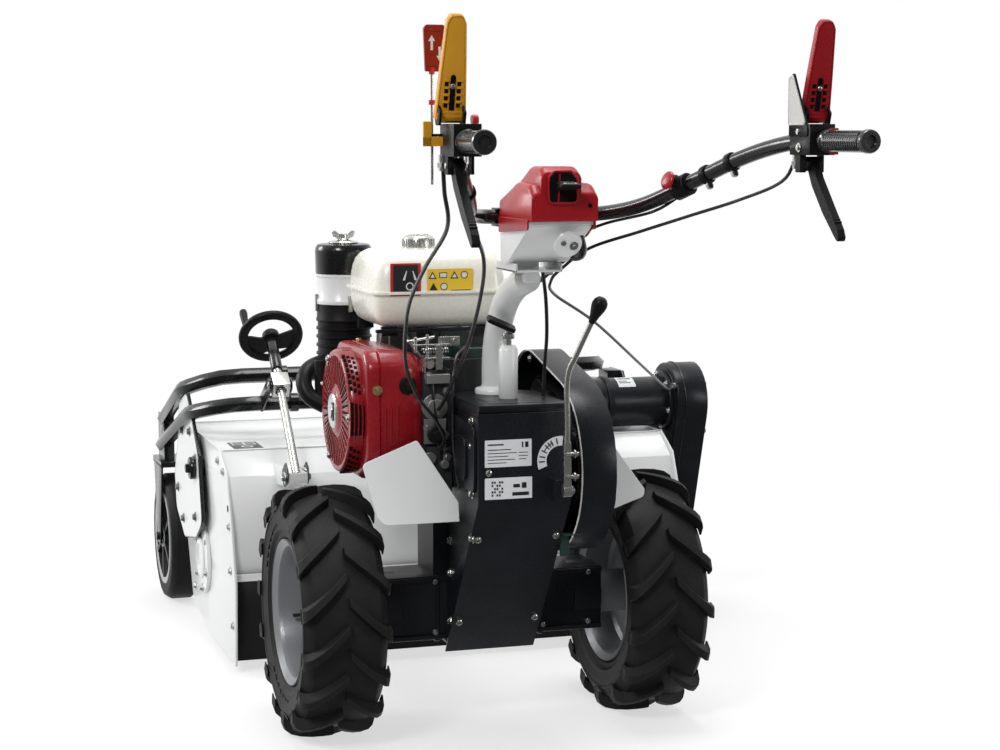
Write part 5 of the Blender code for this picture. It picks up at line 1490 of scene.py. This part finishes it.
def deck():
    carried("deck", WHITE_PAINT, 0.0012, 2)
    carried("rear_flap", RUBBER, 0.001)
    carried("bearing_flange", WHITE_PAINT, 0.003, 3)
    rotor_at = pivot("rotor_spin")
    centre = (rotor_at.y, rotor_at.z)
    bolts = []
    for step in range(6):
        y, z = round_at(centre, 0.066, 60 * step + 20)
        # The heads under the swinging carrier plate are low ones.
        bolts.append(bolt((-0.3962, y, z), LEFT, 0.0068, 0.0018 if z > centre[1] else 0.0055,
                          z < centre[1]))
    for y, z in ((0.5, 0.3), (0.56, 0.405), (0.47, 0.1), (0.93, 0.09), (1.0, 0.36), (0.62, 0.42),
                 (0.49, 0.21)):
        bolts.append(bolt((-0.3874, y, z), LEFT, 0.0062, 0.005))
    for x in (-0.3, -0.12, 0.1, 0.3, 0.5):
        bolts.append(bolt((x, 0.4722, 0.188), REAR, 0.0055, 0.0045))
    put("deck_bolts", "chassis", bolts, ZINC)
    hub = turned([(0, 0.0), (0.0455, 0.0), (0.0455, 0.0035), (0.042, 0.006), (0.031, 0.0065),
                  (0.028, 0.0015), (0.0, 0.001)],
                 (-0.395, *centre), (-1, *centre), 56)
    put("bearing_boss", "chassis", hub, WHITE_PAINT, angle=40)
    put("bearing_cap", "chassis", rod_x(-0.3975, -0.394, centre, 0.0215, 32), ZINC, bevel=0.0008)
    edge = []
    outline = [(0.45, 0.02), (0.44, 0.19), (0.478, 0.3), (0.53, 0.408), (0.6, 0.4455)]
    for x in (-0.3865, 0.6015):
        edge.append(sweep([Vector((x, y, z)) for y, z in outline], 0.0022, 8))
    for y, z, length in ((0.6, 0.444, 0.97), (1.05, 0.4437, 0.97)):
        edge.append(rod((-0.38, y, z - 0.0008), (-0.38 + length, y, z - 0.0008), 0.0022, sides=10))
    put("deck_folds", "chassis", edge, WHITE_PAINT, angle=60)
    put("flap_strip", "chassis", box((-0.379, 0.4712, 0.19), (0.594, 0.4745, 0.205)), WHITE_PAINT,
        bevel=0.0008)
    patch = rounded(rectangle((-0.352, 0.612), (-0.29, 0.712)), 0.004)
    put("deck_sticker", "chassis", plate(patch, "Z", 0.4422, 0.4432), INK)
    marks = [plate(sector((-0.32, 0.645), 0.009, 0.013, 0, 350, 18), "Z", 0.4428, 0.4437),
             plate(rectangle((-0.346, 0.668), (-0.296, 0.706)), "Z", 0.4428, 0.4435)]
    put("deck_sticker_marks", "chassis", marks, PAPER)
    signs = [plate(rectangle((-0.343, 0.671), (-0.322, 0.703)), "Z", 0.4432, 0.4439),
             plate(rectangle((-0.318, 0.671), (-0.299, 0.703)), "Z", 0.4432, 0.4439)]
    put("deck_sticker_fields", "chassis", signs, GREEN_STEEL)
    hole = plate(arc((0.515, 0.335), 0.0075, 0, 345, 20), "X", -0.3874, -0.3866)
    # The hole is a near-black disc: painted shade.
    put("deck_hole", "chassis", hole, DARK)


def flail_rotor():
    carried("rotor", STEEL, 0.001)
    centre = pivot("rotor_spin")
    nuts = []
    for step in range(12):
        x = -0.32 + step * 0.078
        turn = turn_at((0, centre.y, centre.z), radians(90 * step + 45), "X")
        nuts.append(placed(bolt((x, 0, 0.0505), UP, 0.009, 0.008), turn))
    put("rotor_nuts", "flail_rotor", nuts, ZINC)


def cross_drive():
    carried("cross_tube", BLACK_PAINT, 0.003)
    carried("side_belt_case", BLACK_PAINT, 0.003, 3)
    at, low_end = (0.65, 0.505), (0.8, 0.18)
    bands = [
        turned([(0.0, 0), (0.0592, 0), (0.0602, 0.0015), (0.0602, 0.0105), (0.0592, 0.012), (0.0, 0.012)],
               (0.478, *at), (1, *at), 64),
        turned([(0.0, 0), (0.066, 0), (0.067, 0.0015), (0.067, 0.0085), (0.066, 0.01), (0.0, 0.01)],
               (0.6165, *at), (1, *at), 64),
        turned([(0.0, 0), (0.0592, 0), (0.0592, 0.009), (0.0, 0.009)], (0.155, *at), (1, *at), 64),
    ]
    put("cross_tube_rings", "chassis", bands, BLACK_PAINT, bevel=0.001)
    bolts = []
    for angle in range(15, 375, 60):
        bolts.append(bolt((0.6155, *round_at(at, 0.06, angle)), LEFT, 0.005, 0.004))
    for angle in (50, 130, 230, 310):
        bolts.append(bolt((0.1495, *round_at(at, 0.046, angle)), LEFT, 0.005, 0.004, washer=False))
    for x, z in ((-0.055, 0.465), (0.055, 0.465), (-0.055, 0.545), (0.055, 0.545)):
        bolts.append(screw_head((x, 0.587, z), REAR, 0.0062, 0.005))
    for angle in range(20, 380, 60):
        x, z = round_at((0, 0.409), 0.052, angle)
        bolts.append(screw_head((x, 0.202, z), REAR, 0.005, 0.004))
    put("cross_drive_bolts", "chassis", bolts, ZINC)
    belly = hull(low_end, 0.118, at, 0.073, 28)
    seam = [Vector((0.6475, y, z)) for y, z in hull(low_end, 0.1305, at, 0.0855, 28)]
    face = [plate(belly, "X", 0.7, 0.7035), plate(belly, "X", 0.6265, 0.63)]
    put("belt_case_faces", "chassis", face, BLACK_PAINT, bevel=0.0015)
    put("belt_case_seam", "chassis", sweep(seam, 0.0022, 10, closed=True), BLACK_SATIN, angle=60)
    rim_bolts = []
    for y, z in ((0.9, 0.11), (0.93, 0.2), (0.84, 0.3), (0.76, 0.42), (0.7, 0.56), (0.6, 0.545),
                 (0.6, 0.44), (0.665, 0.3), (0.71, 0.11), (0.8, 0.06)):
        rim_bolts.append(bolt((0.7035, y, z), RIGHT, 0.0055, 0.0045))
    put("belt_case_bolts", "chassis", rim_bolts, ZINC)
    ferrule = [rod((0.619, 0.575, 0.545), (0.626, 0.585, 0.545), 0.006, sides=20),
               rod((0.622, 0.58, 0.5455), (0.6285, 0.589, 0.545), 0.0085, sides=6)]
    put("clutch_ferrule", "chassis", ferrule, ZINC)
    sticker = []
    for step in range(5):
        first, last = 96 + step * 8, 104 + step * 8
        sticker.append(plate(sector(at, 0.0548, 0.0556, first, last, 3), "X", 0.506, 0.546))
    put("tube_sticker", "chassis", sticker, PAPER)
    marks = [plate(sector(at, 0.0552, 0.056, 104, 108, 2), "X", 0.51, 0.54),
             plate(sector(at, 0.0552, 0.056, 116, 118, 2), "X", 0.51, 0.53),
             plate(sector(at, 0.0552, 0.056, 122, 124, 2), "X", 0.51, 0.536)]
    put("tube_sticker_marks", "chassis", marks, INK)


# Gauge wheels, their tube frame and the height screw.


def gauge_frame():
    carried("gauge_frame", BLACK_SATIN, 0.0008)
    arm = [(0.72, 0.27), (0.76, 0.41), (0.83, 0.475), (0.9, 0.53), (1.0, 0.5), (1.03, 0.4), (1.08, 0.33),
           (1.06, 0.25),
           (0.95, 0.2), (0.8, 0.225)]
    skin = rounded(arm, 0.03, 5)
    put("carrier_plate_face", "carrier", plate(skin, "X", -0.4068, -0.4046), WHITE_PAINT, bevel=0.0008)
    edge = [Vector((-0.4045, y, z)) for y, z in skin]
    put("carrier_plate_edge", "carrier", sweep(edge, 0.0026, 10, closed=True), BLACK_SATIN, angle=60)
    at = pivot("carrier_tilt")
    bolts = [bolt((-0.4068, y, z), LEFT, 0.0075, 0.006) for y, z in
             ((0.79, 0.4), (0.86, 0.45), (0.96, 0.44), (1.03, 0.3), (0.96, 0.24), (0.8, 0.27))]
    put("carrier_bolts", "carrier", bolts, STEEL)
    sleeve = turned([(0, 0), (0.0235, 0), (0.0245, 0.0015), (0.0245, 0.0105), (0.0225, 0.013),
                     (0.0, 0.013)],
                    (-0.4065, at.y, at.z), (-1, at.y, at.z), 40)
    put("carrier_sleeve", "carrier", [sleeve, bolt((-0.419, at.y, at.z), LEFT, 0.011, 0.008)], BLACK_SATIN,
        angle=40)
    weld = [rod_x(x - 0.009, x + 0.009, hoop, 0.0202, 32)
            for hoop in ((0.735, 0.522), (0.85, 0.57)) for x in (-0.2, 0.2)]
    put("hoop_clamps", "carrier", weld, BLACK_SATIN, bevel=0.001)


def gauge_wheels():
    for side in ("left", "right"):
        carried(f"gauge_wheel_{side}", RUBBER, 0.002)
        centre = pivot(f"gauge_{side}_spin")
        ring = []
        for flank in (-1, 1):
            at = centre + Vector((flank * 0.0338, 0, 0))
            ring.append(turned([(0.098, 0), (0.104, 0.0018), (0.112, 0.0018), (0.113, 0)], at,
                               at + Vector((flank, 0, 0)), 64))
            ring.append(turned([(0.0, 0.0), (0.026, 0.0), (0.0255, 0.0022), (0.0, 0.0022)], at,
                               at + Vector((flank, 0, 0)), 40))
        put(f"gauge_wheel_{side}_rings", f"gauge_{side}", ring, GREY_PLASTIC)
        spokes = []
        for flank in (-1, 1):
            for step in range(6):
                turn = turn_at(centre, radians(60 * step), "X")
                low, high = sorted((flank * 0.0335, flank * 0.0352))
                spokes.append(placed(box((low, -0.006, 0.028), (high, 0.006, 0.1)), turn))
        put(f"gauge_wheel_{side}_spokes", f"gauge_{side}", spokes, BLACK_PLASTIC, bevel=0.0012)


def height_screw():
    foot, head = Vector((-0.262, 0.42, 0.41)), pivot("height_turn")
    line = (head - foot).normalized()
    side = line.cross(Vector(UP)).normalized()
    up = side.cross(line)
    stations = 520
    length = (head - foot).length
    thread = []
    for k in range(stations + 1):
        t = k / stations
        reach = 0.004 + (length - 0.012) * t
        angle = 2 * pi * 62 * t
        thread.append(foot + line * reach + (side * cos(angle) + up * sin(angle)) * 0.0078)
    core = rod(foot + line * 0.004, head + line * 0.012, 0.0078, sides=24)
    put("screw_thread", "screw", [core, sweep(thread, 0.0013, 6)], ZINC, replaces=["height_screw"],
        angle=60)
    sleeve = turned([(0.0, 0), (0.0115, 0), (0.0122, 0.0015), (0.0122, 0.095), (0.0108, 0.097),
                     (0.0, 0.097)],
                    head - line * 0.112, head, 32)
    put("screw_sleeve", "screw", sleeve, BLACK_SATIN, angle=40)
    turn = aimed(head, head + line)
    ring = [Vector((0.0615 * cos(a), 0.0615 * sin(a), 0.0)) for a in [2 * pi * k / 72 for k in range(72)]]
    rim = sweep(ring, 0.0086, 18, closed=True)
    lip = sweep([Vector((p.x * 0.9, p.y * 0.9, -0.003)) for p in ring], 0.0052, 14, closed=True)
    outline = [(-0.056, 0.0), (-0.025, 0.005), (0.0, 0.003), (0.022, -0.008), (0.052, -0.024),
               (0.0585, -0.006),
               (0.054, 0.02), (0.04, 0.03), (0.018, 0.035), (-0.004, 0.044), (-0.02, 0.055),
               (-0.045, 0.036)]
    web = plate(rounded(outline, 0.008, 3), "Z", -0.0035, 0.0025)
    hub = turned([(0, -0.012), (0.0165, -0.012), (0.018, -0.01), (0.0185, 0.004), (0.0155, 0.008),
                  (0, 0.0085)], (0, 0, 0), UP, 40)
    wheel = merged(rim, lip, web, hub)
    put("handwheel", "screw", placed(wheel, turn), BLACK_PLASTIC, bevel=0.0012, angle=45)
    cap = turned([(0, 0.0125), (0.0075, 0.0125), (0.0095, 0.0112), (0.0105, 0.0085), (0.0105, 0.006),
                  (0, 0.006)], (0, 0, 0), UP, 32)
    put("handwheel_cap", "screw", placed(cap, turn), ZINC)
    knob_at = head - side * 0.056 + up * 0.026
    knob = turned([(0, -0.003), (0.0058, -0.003), (0.0066, 0.002), (0.006, 0.008), (0.0078, 0.028),
                   (0.0088, 0.046), (0.0078, 0.0535), (0.0045, 0.0562), (0, 0.0568)],
                  knob_at, knob_at + line, 28)
    put("crank_knob", "screw", knob, BLACK_PLASTIC, angle=50)
    nut_at = Vector((-0.2476, 0.65, 0.5717))
    place = turn_at(nut_at, radians(35), "X")
    carried("screw_nut", ZINC, 0.0025, 3)
    pins = [placed(bolt((sign * 0.0205, 0, 0), (sign, 0, 0), 0.0062, 0.005), place) for sign in (-1, 1)]
    put("nut_pivots", "nut", pins, ZINC)
    ears = []
    for x in (-0.2858, -0.2435):
        ears.append(plate(rounded([(0.40, 0.4), (0.44, 0.385), (0.455, 0.42), (0.42, 0.442), (0.398, 0.43)],
                                  0.012), "X", x, x + 0.0022))
    put("screw_foot_ears", "chassis", ears, BLACK_PAINT, bevel=0.0008)
    foot_bolts = [bolt((-0.2865, 0.42, 0.41), LEFT, 0.0085, 0.007), bolt((-0.2405, 0.42, 0.41), RIGHT,
                                                                         0.0075, 0.006)]
    put("screw_foot_bolts", "chassis", foot_bolts, ZINC)


camera_and_stage()
cables()
for build in (
    drive_wheels, tower, gear_lever, mudguards, shroud, recoil, crankcase, fuel_tank, air_cleaner,
    belt_drive, column, console, handlebar, left_cluster, right_cluster, deck, flail_rotor, cross_drive,
    gauge_frame, gauge_wheels, height_screw,
):
    build()
